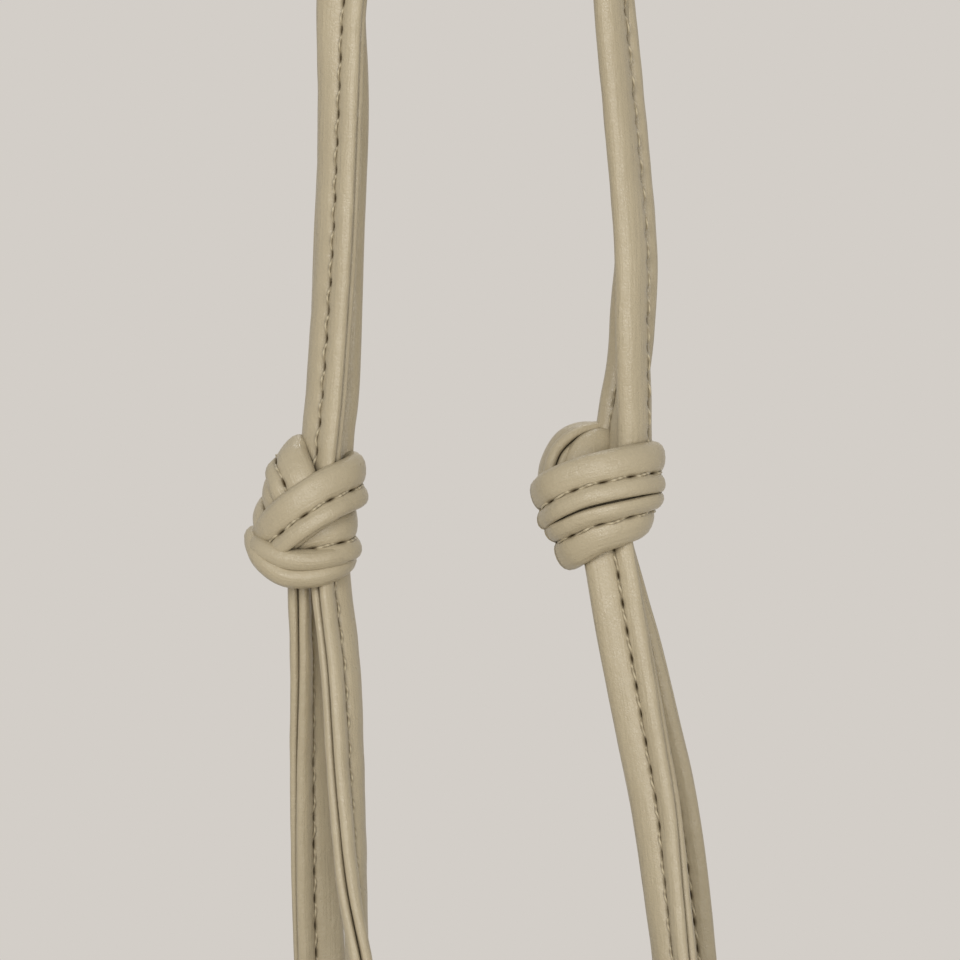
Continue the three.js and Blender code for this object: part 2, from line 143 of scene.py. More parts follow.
# %% Light
BACKDROP = "#d3cec8"
SKY_STRENGTH = 0.44
LAMP_COLOUR = (1.0, 0.985, 0.96)
LAMP_AIM = (0.0, 0.0, -0.2)

scene = bpy.context.scene
scene.view_settings.view_transform = "Standard"
world = bpy.data.worlds.new("studio")
scene.world = world
world.use_nodes = True
tree = world.node_tree
tree.nodes.clear()
ray = add_node(tree, "ShaderNodeLightPath")
seen = add_node(tree, "ShaderNodeMath", {0: (ray, "Is Camera Ray"), 1: (ray, "Is Glossy Ray")},
                operation="MAXIMUM")
seen = add_node(tree, "ShaderNodeMath", {0: (seen, 0), 1: (ray, "Is Transmission Ray")},
                operation="MAXIMUM")
sky = add_node(tree, "ShaderNodeBackground", {"Color": linear("#ffffff"), "Strength": SKY_STRENGTH})
ground = add_node(tree, "ShaderNodeBackground", {"Color": linear(BACKDROP), "Strength": 1.0})
both = add_node(tree, "ShaderNodeMixShader", {0: (seen, 0), 1: (sky, 0), 2: (ground, 0)})
add_node(tree, "ShaderNodeOutputWorld", {"Surface": (both, 0)})


def add_lamp(name, place, size, watts, mirrored=True):
    """A square lamp of a size in metres that looks at the object."""
    lamp = bpy.data.lights.new(name, "AREA")
    lamp.size = size
    lamp.energy = watts
    lamp.color = LAMP_COLOUR
    holder = bpy.data.objects.new(name, lamp)
    bpy.context.collection.objects.link(holder)
    holder.location = place
    holder.rotation_euler = (Vector(LAMP_AIM) - Vector(place)).to_track_quat("-Z", "Y").to_euler()
    holder.visible_glossy = mirrored


add_lamp("key_lamp", (-1.2, -4.1, 1.5), size=2.0, watts=88.0)
add_lamp("fill_lamp", (1.2, -4.3, -0.1), size=1.8, watts=68.0)
add_lamp("back_lamp", (1.0, 4.0, 2.0), size=2.6, watts=78.0, mirrored=False)
add_lamp("top_lamp", (0.3, 2.2, 3.6), size=1.2, watts=34.0)
print("lamps:", len(bpy.data.lights))

# %% Floor
FLOOR_Z = -0.425
FLOOR_HALF = 1.75

floor_mesh = bpy.data.meshes.new("floor")
corners = [(x * FLOOR_HALF, y * FLOOR_HALF, FLOOR_Z) for x, y in ((-1, -1), (1, -1), (1, 1), (-1, 1))]
floor_mesh.from_pydata(corners, [], [(0, 1, 2, 3)])
floor = bpy.data.objects.new("floor", floor_mesh)
bpy.context.collection.objects.link(floor)
paint, tree, shader = new_material("pale_floor")
connect(tree, shader, {"Base Color": linear("#dcd8d1"), "Roughness": 0.9})
floor_mesh.materials.append(paint)
print("floor %.1f m wide" % (2 * FLOOR_HALF))

# %% [markdown]
# ## Smooth lamb leather
# Straps and pouch are lamb leather. It is tanned, dyed through and pressed, so it has fine pores, a low
# satin gloss and a slightly uneven colour. A scan of a hide could be wrapped round it. Noise in the
# object's own space needs no unwrapping, and fits a strap as well as a sheet, so that is used here.
# Needle holes, slits and the narrow gaps between bands get painted shade: a dark brown is mixed into
# the colour there. A number that the meshes carry says how much in holes and slits, and an ambient
# occlusion node finds the narrow gaps. Where a strap is pulled tight, fine lines run along it: they
# follow a vector called lay, which the meshes carry as well.

# %% Leather's colour
MOTTLE_MM = 14.0
MOTTLE_SHARE = 0.55
# Painted shade: narrow gaps, needle holes and slits get this dark brown mixed into their colour.
GAP_MM = 1.3
GAP_CLOSED, GAP_OPEN = 0.08, 0.55  # shares of open air at which a gap is darkest and no longer dark
GAP_SHADE = 0.76
PAINTED_SHADE_BROWN = "#3d2f1c"


def leather_colour(tree, place, colour, deep, pale):
    """The dyed colour, a little uneven, with painted shade mixed in, and how strong that painted shade is at
    each spot.
    """
    mottle = add_node(tree, "ShaderNodeTexNoise", {
        "Vector": place, "Scale": 1 / (MOTTLE_MM * MM), "Detail": 4.0, "Roughness": 0.55})
    tone = add_node(tree, "ShaderNodeMix", {
        0: (mottle, "Fac"), 6: linear(deep), 7: linear(pale)}, data_type="RGBA")
    dyed = add_node(tree, "ShaderNodeMix", {
        0: MOTTLE_SHARE, 6: linear(colour), 7: (tone, 2)}, data_type="RGBA")
    # Painted shade: from the mesh's number in holes and slits, and from ambient occlusion in narrow gaps.
    crease = add_node(tree, "ShaderNodeAttribute", attribute_name="crease")
    gap = add_node(tree, "ShaderNodeAmbientOcclusion", {"Distance": GAP_MM * MM}, samples=6)
    gap = add_node(tree, "ShaderNodeMapRange", {
        "Value": (gap, "AO"), "From Min": GAP_CLOSED, "From Max": GAP_OPEN,
        "To Min": GAP_SHADE, "To Max": 0.0})
    painted_shade = add_node(tree, "ShaderNodeMath", {0: (crease, "Fac"), 1: (gap, 0)}, operation="MAXIMUM")
    shade = add_node(tree, "ShaderNodeMix", {
        0: (painted_shade, 0), 6: (dyed, 2), 7: linear(PAINTED_SHADE_BROWN)}, data_type="RGBA")
    return shade, painted_shade


print("gaps under %.1f mm look darker" % GAP_MM)

# %% Leather's relief
PORE_MM = 0.5  # real pores are about half as wide, too fine to show
PORE_EDGE, PORE_HEIGHT = 0.16, 0.14
WRINKLE_MM = 1.6


def leather_relief(tree, place, pull):
    """The height of pores, soft wrinkles and lines of pull, and the wrinkles alone."""
    pores = add_node(tree, "ShaderNodeTexVoronoi", {
        "Vector": place, "Scale": 1 / (PORE_MM * MM), "Randomness": 1.0}, feature="DISTANCE_TO_EDGE")
    pores = add_node(tree, "ShaderNodeMapRange", {
        "Value": (pores, "Distance"), "From Min": 0.0, "From Max": PORE_EDGE,
        "To Min": 0.0, "To Max": PORE_HEIGHT})
    wrinkles = add_node(tree, "ShaderNodeTexNoise", {
        "Vector": place, "Scale": 1 / (WRINKLE_MM * MM), "Detail": 3.0, "Roughness": 0.5,
        "Distortion": 0.6})
    height = add_node(tree, "ShaderNodeMath", {0: (pores, 0), 1: (wrinkles, "Fac")}, operation="ADD")
    lay = add_node(tree, "ShaderNodeAttribute", attribute_name="lay")
    lines = add_node(tree, "ShaderNodeTexNoise", {
        "Vector": (lay, "Vector"), "Scale": 1.0, "Detail": 3.0, "Roughness": 0.6})
    height = add_node(tree, "ShaderNodeMath", {0: (lines, "Fac"), 1: pull, 2: (height, 0)},
                      operation="MULTIPLY_ADD")
    return height, wrinkles


print("pores %.1f mm apart, wrinkles %.1f mm" % (PORE_MM, WRINKLE_MM))

# %% Leather
LEATHER_IOR = 1.48
RELIEF_MM = 0.3
NOISE_LOW, NOISE_HIGH = 0.3, 0.7  # most of a noise lies between these
GLOSSIER, DULLER = 0.06, 0.08  # how far the roughness strays with the wrinkles
PLAIN_MIRROR = 0.5  # the shader's own level
# Mirrored light fades out where the painted shade is strong, so that painted shade stays brown.
MIRROR_END = 0.7  # no light is mirrored out of a gap from this dark on, so creases stay brown


def smooth_leather(name, colour, deep, pale, roughness, pull):
    """Lamb leather in a colour with a deep and a pale tone. Pull is how much lines of pull show."""
    material, tree, shader = new_material(name)
    place = (add_node(tree, "ShaderNodeTexCoord"), "Object")
    shade, painted_shade = leather_colour(tree, place, colour, deep, pale)
    height, wrinkles = leather_relief(tree, place, pull)
    bump = add_node(tree, "ShaderNodeBump", {
        "Height": (height, 0), "Strength": 0.5, "Distance": RELIEF_MM * MM})
    gloss = add_node(tree, "ShaderNodeMapRange", {
        "Value": (wrinkles, "Fac"), "From Min": NOISE_LOW, "From Max": NOISE_HIGH,
        "To Min": roughness - GLOSSIER, "To Max": roughness + DULLER})
    mirror = add_node(tree, "ShaderNodeMapRange", {
        "Value": (painted_shade, 0), "From Min": 0.0, "From Max": MIRROR_END,
        "To Min": PLAIN_MIRROR, "To Max": 0.0})
    connect(tree, shader, {
        "Base Color": (shade, 2), "Roughness": (gloss, 0), "Normal": (bump, 0),
        "Specular IOR Level": (mirror, 0), "IOR": LEATHER_IOR})
    return material


strap_leather = smooth_leather("smooth_lamb_leather_strap", "#aca085", "#9c8f76", "#b9ad93",
                               roughness=0.33, pull=1.2)
pouch_leather = smooth_leather("smooth_lamb_leather_panel", "#aca085", "#9b8f75", "#b8ad92",
                               roughness=0.44, pull=0.0)
print(strap_leather.name, pouch_leather.name)

# %% [markdown]
# ## Cotton thread
# The stitches are cotton thread, twisted from a few strands, so slanted bands run round it. The strands
# could be modelled one by one, but at this size nobody would see it. Slanted bands of a wave texture
# give the same look, and a little sheen stands for the fibres that stick out.

# %% Thread
DIAGONAL_WAVE = 2 * math.pi / 10  # bands of a diagonal wave of scale 1 repeat at this step along an axis
THREAD_TWIST_MM = 1.5079645  # real strands are finer and would not show

thread, tree, shader = new_material("twisted_cotton_thread")
place = (add_node(tree, "ShaderNodeTexCoord"), "Object")
twist = add_node(tree, "ShaderNodeTexWave", {
    "Vector": place, "Scale": DIAGONAL_WAVE / (THREAD_TWIST_MM * MM), "Distortion": 2.0},
    bands_direction="DIAGONAL")
tone = add_node(tree, "ShaderNodeMix", {
    0: (twist, "Fac"), 6: linear("#8f8268"), 7: linear("#b6aa8e")}, data_type="RGBA")
bump = add_node(tree, "ShaderNodeBump", {
    "Height": (twist, "Fac"), "Strength": 0.4, "Distance": 0.1 * MM})
connect(tree, shader, {
    "Base Color": (tone, 2), "Normal": (bump, 0), "Roughness": 0.55, "Sheen Weight": 0.2})
print(thread.name)

# %% [markdown]
# ## Suede and cotton twill
# The facings are split suede: its cut fibres stand up as a nap and lie in brushed patches. The lining
# is cotton twill: its weave shows as diagonal ribs, with thicker yarns here and there. Hair could be
# grown for the nap and yarns woven for the twill, but both lie deep inside the mouth, so noise and
# bands with some sheen do as well.

# %% Suede
NAP_MM = 0.7  # real nap is finer and would not show
BRUSHED_MM = 16.0

suede, tree, shader = new_material("split_suede_facing")
place = (add_node(tree, "ShaderNodeTexCoord"), "Object")
nap = add_node(tree, "ShaderNodeTexNoise", {
    "Vector": place, "Scale": 1 / (NAP_MM * MM), "Detail": 5.0, "Roughness": 0.7})
brushed = add_node(tree, "ShaderNodeTexNoise", {
    "Vector": place, "Scale": 1 / (BRUSHED_MM * MM), "Detail": 3.0})
mixed = add_node(tree, "ShaderNodeMath", {0: (brushed, "Fac"), 1: 0.6, 2: (nap, "Fac")},
                 operation="MULTIPLY_ADD")
tone = add_node(tree, "ShaderNodeValToRGB", {"Fac": (mixed, 0)})
for stop, position, colour in zip(tone.color_ramp.elements, (0.5, 1.0), ("#85775c", "#a39677")):
    stop.position, stop.color = position, linear(colour)
bump = add_node(tree, "ShaderNodeBump", {"Height": (nap, "Fac"), "Strength": 0.35, "Distance": 0.3 * MM})
connect(tree, shader, {
    "Base Color": (tone, 0), "Normal": (bump, 0), "Roughness": 0.92, "Sheen Weight": 0.35})
print(suede.name)

# %% Twill
TWILL_RIB_MM = 3.5512563  # real ribs are finer and would not show
SLUB_MM = 5.0

twill, tree, shader = new_material("cotton_twill_lining")
place = (add_node(tree, "ShaderNodeTexCoord"), "Object")
ribs = add_node(tree, "ShaderNodeTexWave", {
    "Vector": place, "Scale": DIAGONAL_WAVE / (TWILL_RIB_MM * MM), "Distortion": 0.6, "Detail": 2.0},
    bands_direction="DIAGONAL")
slub = add_node(tree, "ShaderNodeTexNoise", {"Vector": place, "Scale": 1 / (SLUB_MM * MM), "Detail": 4.0})
mixed = add_node(tree, "ShaderNodeMath", {0: (ribs, "Fac"), 1: 0.35, 2: (slub, "Fac")},
                 operation="MULTIPLY_ADD")
tone = add_node(tree, "ShaderNodeValToRGB", {"Fac": (mixed, 0)})
for stop, position, colour in zip(tone.color_ramp.elements, (0.3, 0.9), ("#8d8570", "#b4ad98")):
    stop.position, stop.color = position, linear(colour)
bump = add_node(tree, "ShaderNodeBump", {"Height": (ribs, "Fac"), "Strength": 0.3, "Distance": 0.2 * MM})
connect(tree, shader, {
    "Base Color": (tone, 0), "Normal": (bump, 0), "Roughness": 0.85, "Sheen Weight": 0.15})
print(twill.name)

# %% [markdown]
# ## Brass and greyboard
# The eyelets are stamped from brass and tumbled, so they shine softly under fine marks and a little
# tarnish. The stiffener in the base is greyboard, pressed from waste paper, dull and fibrous. It is
# flat and hidden, so the frame's own solid stays and only gets this finish.

# %% Brass
MARK_MM = 0.6  # real marks are finer and would not show
TARNISH_MM = 6.0
BRASS_SHINY, BRASS_DULL = 0.24, 0.4  # roughness between the marks and in them

brass, tree, shader = new_material("tumbled_pale_brass")
place = (add_node(tree, "ShaderNodeTexCoord"), "Object")
marks = add_node(tree, "ShaderNodeTexNoise", {
    "Vector": place, "Scale": 1 / (MARK_MM * MM), "Detail": 6.0, "Roughness": 0.7})
tarnish = add_node(tree, "ShaderNodeTexNoise", {
    "Vector": place, "Scale": 1 / (TARNISH_MM * MM), "Detail": 3.0})
tone = add_node(tree, "ShaderNodeMix", {
    0: (tarnish, "Fac"), 6: linear("#b59a5e"), 7: linear("#d8c48e")}, data_type="RGBA")
gloss = add_node(tree, "ShaderNodeMapRange", {
    "Value": (marks, "Fac"), "From Min": NOISE_LOW, "From Max": NOISE_HIGH,
    "To Min": BRASS_SHINY, "To Max": BRASS_DULL})
bump = add_node(tree, "ShaderNodeBump", {"Height": (marks, "Fac"), "Strength": 0.08, "Distance": 0.1 * MM})
connect(tree, shader, {
    "Base Color": (tone, 2), "Roughness": (gloss, 0), "Normal": (bump, 0), "Metallic": 1.0})
print(brass.name)

# %% Greyboard
FIBRE_MM = 1.2  # real fibres are finer and would not show

board, tree, shader = new_material("pressed_greyboard_stiffener")
place = (add_node(tree, "ShaderNodeTexCoord"), "Object")
fibre = add_node(tree, "ShaderNodeTexNoise", {"Vector": place, "Scale": 1 / (FIBRE_MM * MM), "Detail": 6.0})
tone = add_node(tree, "ShaderNodeMix", {
    0: (fibre, "Fac"), 6: linear("#7d7a73"), 7: linear("#a19d94")}, data_type="RGBA")
connect(tree, shader, {"Base Color": (tone, 2), "Roughness": 0.95})
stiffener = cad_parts["base_board"]
stiffener.data.materials.clear()
stiffener.data.materials.append(board)
print(board.name)

# %% [markdown]
# ## Smooth lines
# Straps, bands and seams all follow a few listed stops. Blender's curves could join the
# stops, but a strap also turns and leans on its way. So one function runs a smooth line through rows
# of numbers, whatever they hold beside the place, and steps along it evenly.

# %% Smooth lines
RING_STEP = 0.42 * MM
SPAN_STEPS = 24  # fine steps between two stops of a line


def unit(vectors):
    return vectors / np.linalg.norm(vectors, axis=-1, keepdims=True)


def smooth_step(share):
    share = np.clip(share, 0, 1)
    return share * share * (3 - 2 * share)


def bell(share):
    return np.exp(-share ** 2)


def run_along(points):
    """How far along a line each of its points lies."""
    return np.concatenate([[0], np.cumsum(np.linalg.norm(np.diff(points, axis=0), axis=1))])


def smooth_rows(rows, step=RING_STEP):
    """A smooth line through rows that start with x, y, z, with new rows every step along it."""
    rows = np.asarray(rows, float)
    padded = np.vstack([2 * rows[0] - rows[1], rows, 2 * rows[-1] - rows[-2]])
    t = np.linspace(0, 1, SPAN_STEPS + 1)[:-1, None]
    spans = []
    for a, b, c, d in zip(padded, padded[1:], padded[2:], padded[3:]):
        spans.append(b + 0.5 * t * (c - a + t * (2 * a - 5 * b + 4 * c - d + t * (3 * (b - c) + d - a))))
    fine = np.vstack(spans + [rows[-1:]])
    run = run_along(fine[:, :3])
    even = np.linspace(0, run[-1], max(3, round(run[-1] / step) + 1))
    return np.column_stack([np.interp(even, run, column) for column in fine.T])


def square_to(points, across):
    """A direction across a line of points, squared to the line, and the one square to both."""
    along = unit(np.gradient(points, axis=0))
    across = unit(across - along * np.sum(across * along, axis=1, keepdims=True))
    return across, np.cross(along, across)


print("a ring every %.2f mm" % (RING_STEP / MM))

# %% [markdown]
# ## The folded strap
# The strap is a strip of leather folded double. One edge is the closed, plump fold. The other is open:
# two rounded lips with a slit between them. A row of stitches near the open edge pinches it thinner,
# deepest at each needle hole. A curve with a bevel can't hold that, so the section is swept as a mesh:
# each ring takes the section, pinched by how close it is to a needle hole.

# %% Strap section
STITCH_PITCH = 4.3 * MM
# The rest is in mm: w across the strap, towards its open edge, and t through it.
STITCH_W = 0.9
FACE_T = 0.9  # beyond this a point is on a face, not in the slit
VALLEY_WIDTH, VALLEY_DEPTH = 0.55, 0.1
HOLE_HALF_LENGTH, HOLE_WIDTH, HOLE_DEPTH = 0.72, 0.15, 0.5
# Painted shade in the needle holes, along the stitch row and in the slit.
HOLE_SHADE, ROW_SHADE, SLIT_SHADE = 1.1, 0.25, 0.5
SLIT_FROM, SLIT_TO, SLIT_T = 1.0, 3.75, 0.3
LIP_EASE = 0.6  # the lips begin to lean this far from the stitch line
# How the fold swells along the strap: a share of its thickness, radians per mm, and a start.
SWELLS = ((0.018, 0.57, 0.0), (0.014, 0.93, 1.3))

# Half of the section, from the fold's tip over the face and the lip to the bottom of the slit.
HALF_SECTION = np.array([
    (-4.0, 0.0), (-3.82, 0.75), (-3.3, 1.35), (-2.5, 1.7), (-1.5, 1.8), (-0.6, 1.72), (0.1, 1.52),
    (0.5, 1.34), (0.72, 1.2), (0.82, 1.14), (0.9, 1.12), (0.98, 1.14), (1.08, 1.2), (1.35, 1.38),
    (1.9, 1.62), (2.6, 1.74), (3.2, 1.66), (3.7, 1.36), (3.97, 0.92), (3.86, 0.4), (3.55, 0.14),
    (3.0, 0.05), (2.3, 0.0),
])
SECTION = np.vstack([HALF_SECTION, HALF_SECTION[-2:0:-1] * (1, -1)])
STITCH_POINT = int(np.argmin(np.abs(HALF_SECTION[:, 0] - STITCH_W)))


def strap_rings(points, over, out, run, lips, bend):
    """The swept section as rings of points, and how much painted shade each point gets."""
    to_hole = np.abs((run / STITCH_PITCH + 0.5) % 1 - 0.5) * STITCH_PITCH / MM
    hole = bell(to_hole / HOLE_HALF_LENGTH)[:, None]
    w, t = SECTION.T
    aside = w - STITCH_W
    on_face = np.abs(t) > FACE_T
    valley = bell(aside / VALLEY_WIDTH) * on_face
    needle = bell(aside / HOLE_WIDTH) * on_face
    depth = VALLEY_DEPTH * (1 + hole) * valley + HOLE_DEPTH * hole * needle
    plump = 1 + sum(share * np.sin(run / MM * pace + start) for share, pace, start in SWELLS)[:, None]
    thick = t * np.where(aside < 0, plump, 2 - plump) - np.sign(t) * depth
    # The open edge may lean out of the fold's plane: it turns about the stitch line.
    lean = np.radians(np.broadcast_to(bend, len(points)))[:, None]
    lean = lean * smooth_step((aside + LIP_EASE) / (2 * LIP_EASE))
    wide = STITCH_W + aside * np.cos(lean) - thick * np.sin(lean)
    thick = aside * np.sin(lean) + thick * np.cos(lean)
    rings = over[:, None] * wide[:, :, None] + out[:, None] * thick[:, :, None]
    slit = np.clip(1 - np.abs(t) / SLIT_T, 0, 1) * (w > SLIT_FROM) * (w < SLIT_TO)
    # Painted shade, strongest at each needle hole.
    crease = np.clip(needle * (ROW_SHADE + HOLE_SHADE * hole) + SLIT_SHADE * slit, 0, 1)
    return points[:, None] + rings * lips * MM, crease


print("section of", len(SECTION), "points")

# %% [markdown]
# ## Pieces and stitches
# Each piece gathers its leather and its thread in one mesh, and is then handed to the frame: the body
# that it rides on and the solids that it stands for. A stitch lies on the leather
# between two needle holes, a little slanted, and dips into a hole at both ends. Stitches could be
# painted on, but real little tubes catch the light as thread does.

# %% Mesh building
LEATHER_SLOT, THREAD_SLOT = 0, 1  # numbers of a mesh's materials


class MeshParts:
    """Gathers vertices, faces, material numbers, painted shade and lay for one mesh."""

    def __init__(self):
        self.vertices, self.faces, self.slots, self.creases, self.lays, self.count = [], [], [], [], [], 0

    def add(self, vertices, faces, slot=LEATHER_SLOT, crease=None, lay=None):
        vertices = np.asarray(vertices, float).reshape(-1, 3)
        self.vertices.append(vertices)
        self.faces += [tuple(i + self.count for i in face) for face in faces]
        self.slots += [slot] * len(faces)
        self.creases.append(np.zeros(len(vertices)) if crease is None else np.ravel(crease))
        self.lays.append(np.zeros((len(vertices), 3)) if lay is None else lay.reshape(-1, 3))
        self.count += len(vertices)

    def build(self, name, materials):
        mesh = bpy.data.meshes.new(name)
        mesh.from_pydata(np.vstack(self.vertices).tolist(), [], self.faces)
        for material in materials:
            mesh.materials.append(material)
        mesh.polygons.foreach_set("material_index", self.slots)
        mesh.polygons.foreach_set("use_smooth", [True] * len(self.faces))
        # How much painted shade each point gets, read by the leather.
        crease = mesh.attributes.new("crease", "FLOAT", "POINT")
        crease.data.foreach_set("value", np.concatenate(self.creases).astype(np.float32))
        lay = mesh.attributes.new("lay", "FLOAT_VECTOR", "POINT")
        lay.data.foreach_set("vector", np.vstack(self.lays).astype(np.float32).ravel())
        mesh.update()
        piece = bpy.data.objects.new(name, mesh)
        bpy.context.collection.objects.link(piece)
        return piece


def dress(parts, name, materials, body, slot, *nodes):
    """Builds a piece, and says what it rides on and the solids that it stands for. The slot is not used."""
    piece = parts.build(name, materials)
    if body:
        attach(piece, body)
    if nodes:
        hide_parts(*nodes)
    print(piece.name, len(piece.data.polygons), "faces")
    return piece


strap_look = [strap_leather, thread]
pouch_look = [pouch_leather, thread]
print("a strap has", " and ".join(material.name for material in strap_look))

# %% Stitches
THREAD_RADIUS = 0.2 * MM
THREAD_SIDES = 6
STITCH_STEPS = 7
STITCH_SLANT = 0.3 * MM
STITCH_PROUD = 0.1 * MM
STITCH_GAP = 0.1  # share of the pitch that is left free before and after a stitch
STITCH_ARCH, STITCH_SINK = 1.9, 1.3  # in thread radii
SLANTING = (0.31, 0.55, 0.77)  # no line runs along this, so it helps to find a tube's sides


def ring_angles(sides):
    return np.linspace(0, 2 * math.pi, sides, endpoint=False)


def round_rings(points, side, top, radius, sides):
    """Rings of points round a line, from two directions that are square to it."""
    angle = ring_angles(sides)[None, :, None]
    return points[:, None] + (np.cos(angle) * side[:, None] + np.sin(angle) * top[:, None]) * radius


def ring_faces(rings, sides, closed=False):
    """Faces between rings of points. Open rings get a cap at both ends, closed ones join up."""
    faces = []
    for i in range(rings if closed else rings - 1):
        here, there = i * sides, (i + 1) % rings * sides
        faces += [(here + j, here + (j + 1) % sides, there + (j + 1) % sides, there + j)
                  for j in range(sides)]
    if not closed:
        faces += [tuple(range(sides))[::-1], tuple(range((rings - 1) * sides, rings * sides))]
    return faces


def tube(points, radius, sides=THREAD_SIDES):
    """Rings and faces of a closed tube along points."""
    along = unit(np.gradient(points, axis=0))
    side = unit(np.cross(along, SLANTING))
    rings = round_rings(points, side, np.cross(along, side), radius, sides)
    return rings, ring_faces(len(points), sides)


def sew(parts, line, outs, sides, run):
    """Adds one slanted stitch per pitch along a line of surface points."""
    share = np.linspace(STITCH_GAP, 1 - STITCH_GAP, STITCH_STEPS)
    arch = np.sin(np.pi * np.linspace(0, 1, STITCH_STEPS))
    lift = STITCH_PROUD + THREAD_RADIUS * (STITCH_ARCH * arch - STITCH_SINK)
    slant = STITCH_SLANT * (2 * share - 1)
    for k in range(int(run[-1] / STITCH_PITCH)):
        at = (k + share) * STITCH_PITCH
        spot, out, side = (np.array([np.interp(at, run, c) for c in rows.T]) for rows in (line, outs, sides))
        parts.add(*tube((spot + out * lift + side * slant).T, THREAD_RADIUS), THREAD_SLOT)


print("stitch pitch %.1f mm" % (STITCH_PITCH / MM))

# %% A strap with its stitches
PULL_LENGTH, PULL_WIDTH = 9.0 * MM, 0.7  # pull lines run along the strap
PATH_EVERY = 5  # the path that a strap hands back keeps every fifth point of its line


def lay_strap(parts, points, across, lips=1, bend=0.0):
    """Adds a strap and both rows of its stitches to a mesh."""
    over, out = square_to(points, across)
    run = run_along(points)
    rings, crease = strap_rings(points, over, out, run, lips, bend)
    sides = len(SECTION)
    w, t = SECTION.T / PULL_WIDTH
    lay = np.stack(np.broadcast_arrays(run[:, None] / PULL_LENGTH, w, t), axis=-1)
    parts.add(rings, ring_faces(len(rings), sides), LEATHER_SLOT, crease, lay)
    for face, index in ((1, STITCH_POINT), (-1, sides - STITCH_POINT)):
        sew(parts, rings[:, index], out * lips * face, over, run)


def hang_strap(node, body, rows):
    """A strap along rows of x, y, z, turn and bend, and the path that it follows."""
    angle = np.radians(rows[:, 3])
    across = np.stack([np.cos(angle), -np.sin(angle), np.zeros_like(angle)], axis=-1)
    parts = MeshParts()
    lay_strap(parts, rows[:, :3], across, bend=rows[:, 4])
    return dress(parts, node + "_folded", strap_look, body, "strap_leather", node), rows[::PATH_EVERY, :3]


print("pull lines %.0f mm long" % (PULL_LENGTH / MM))

# %% [markdown]
# ## Handle straps
# Two straps hang over a peg just above the picture and come down to the knots side by side. Each stop
# holds the place in the picture's plane, how near it is, the strap's turn, where 0 shows its face and
# 90 brings the open edge to the front, and how far the open edge leans. Over the peg the straps lie
# flat, so the stops follow an arc. Cloth could be draped over a peg, but then it wouldn't meet the knots
# where the picture shows them.

# %% Handle straps
PEG_RADIUS = 17.0
PEG_X = -0.5
PEG_SIDE = 4.4  # each strap's middle from the peg's middle, along the peg
PEG_ARC = np.radians(np.linspace(170, 10, 9))
STRAP_THICKNESS = 3.5

# Right, up, near, turn and bend of the open edge: from inside the left knot to the picture's top.
LEFT_LEGS = {
    "front": [(-25.9, -4.0, 1.0, 60, 32), (-25.3, 1.0, 1.6, 60, 32), (-24.6, 7.7, 2.2, 59, 32),
              (-23.9, 15.4, 2.2, 58, 31), (-22.5, 36.9, 2.2, 56, 28), (-21.8, 57.3, 2.2, 47, 20),
              (-21.4, 73.8, 2.2, 24, 6)],
    "rear": [(-24.0, -4.0, -2.6, 196, 0), (-23.5, 1.0, -3.0, 196, 0), (-23.1, 7.7, -3.4, 196, 0),
             (-22.3, 15.4, -3.4, 196, 0), (-21.6, 36.9, -3.2, 199, 0), (-20.8, 57.3, -3.0, 206, 0),
             (-21.1, 73.8, -3.0, 216, 0)],
}
# From the picture's top down into the right knot.
RIGHT_LEGS = {
    "front": [(20.7, 73.8, 2.6, -45, -48), (22.2, 57.3, 2.6, -42, -84), (24.0, 36.9, 3.0, -38, -106),
              (24.2, 21.5, 3.0, -38, -72), (24.4, 7.7, 1.4, -42, -56), (23.8, 3.0, 0.6, -45, -50),
              (22.8, -2.0, 0.0, -45, -40)],
    "rear": [(21.4, 73.8, -3.0, 255, 0), (22.7, 57.3, -3.2, 245, 0), (24.1, 36.9, -3.4, 234, 0),
             (23.8, 27.7, -3.4, 223, 0), (23.1, 18.5, -3.2, 226, 0), (22.0, 12.3, -2.8, 227, 0),
             (21.2, 7.4, -2.4, 228, 0), (20.6, 3.0, -2.2, 228, 0), (19.6, -2.0, -2.0, 228, 0)],
}
# Across, height and turn of each strap between the picture's top and the peg, up the left side and
# down the right, with its turn on the peg between them.
PEG_APPROACH = {
    "front": ([(-20.9, -34.0, -12), (-19.6, -25.0, -58)], -90, [(18.6, -25.0, -84), (18.8, -34.0, -70)]),
    "rear": ([(-20.9, -34.0, 234), (-19.6, -25.0, 256)], 270, [(18.6, -25.0, 264), (18.8, -34.0, 260)]),
}


def stop_rows(stops):
    """Rows of x, y, z, turn and bend from stops in the picture's plane."""
    return [(*in_picture(right, up, near), turn, bend) for right, up, near, turn, bend in stops]


def peg_rows(side, y, before, after):
    """Rows from the picture's top edge over the peg and down to it again."""
    rising, top_turn, falling = PEG_APPROACH[side]
    radius = PEG_RADIUS + STRAP_THICKNESS / 2
    arc = [(PEG_X + radius * math.cos(a), y, radius * math.sin(a) - PEG_RADIUS, top_turn) for a in PEG_ARC]
    left = [(x, depth, z, turn) for depth, (x, z, turn) in zip(((y + before) / 2, y), rising)]
    right = [(x, depth, z, turn) for depth, (x, z, turn) in zip((y, (y + after) / 2), falling)]
    return [(x * MM, depth * MM, z * MM, turn, 0) for x, depth, z, turn in left + arc + right]


for side, sign in (("front", -1), ("rear", 1)):
    left, right = LEFT_LEGS[side], RIGHT_LEGS[side]
    over_peg = peg_rows(side, sign * PEG_SIDE, -left[-1][2], -right[0][2])
    rows = smooth_rows(stop_rows(left) + over_peg + stop_rows(right))
    hang_strap("handle_strap_" + side, "handle", rows)

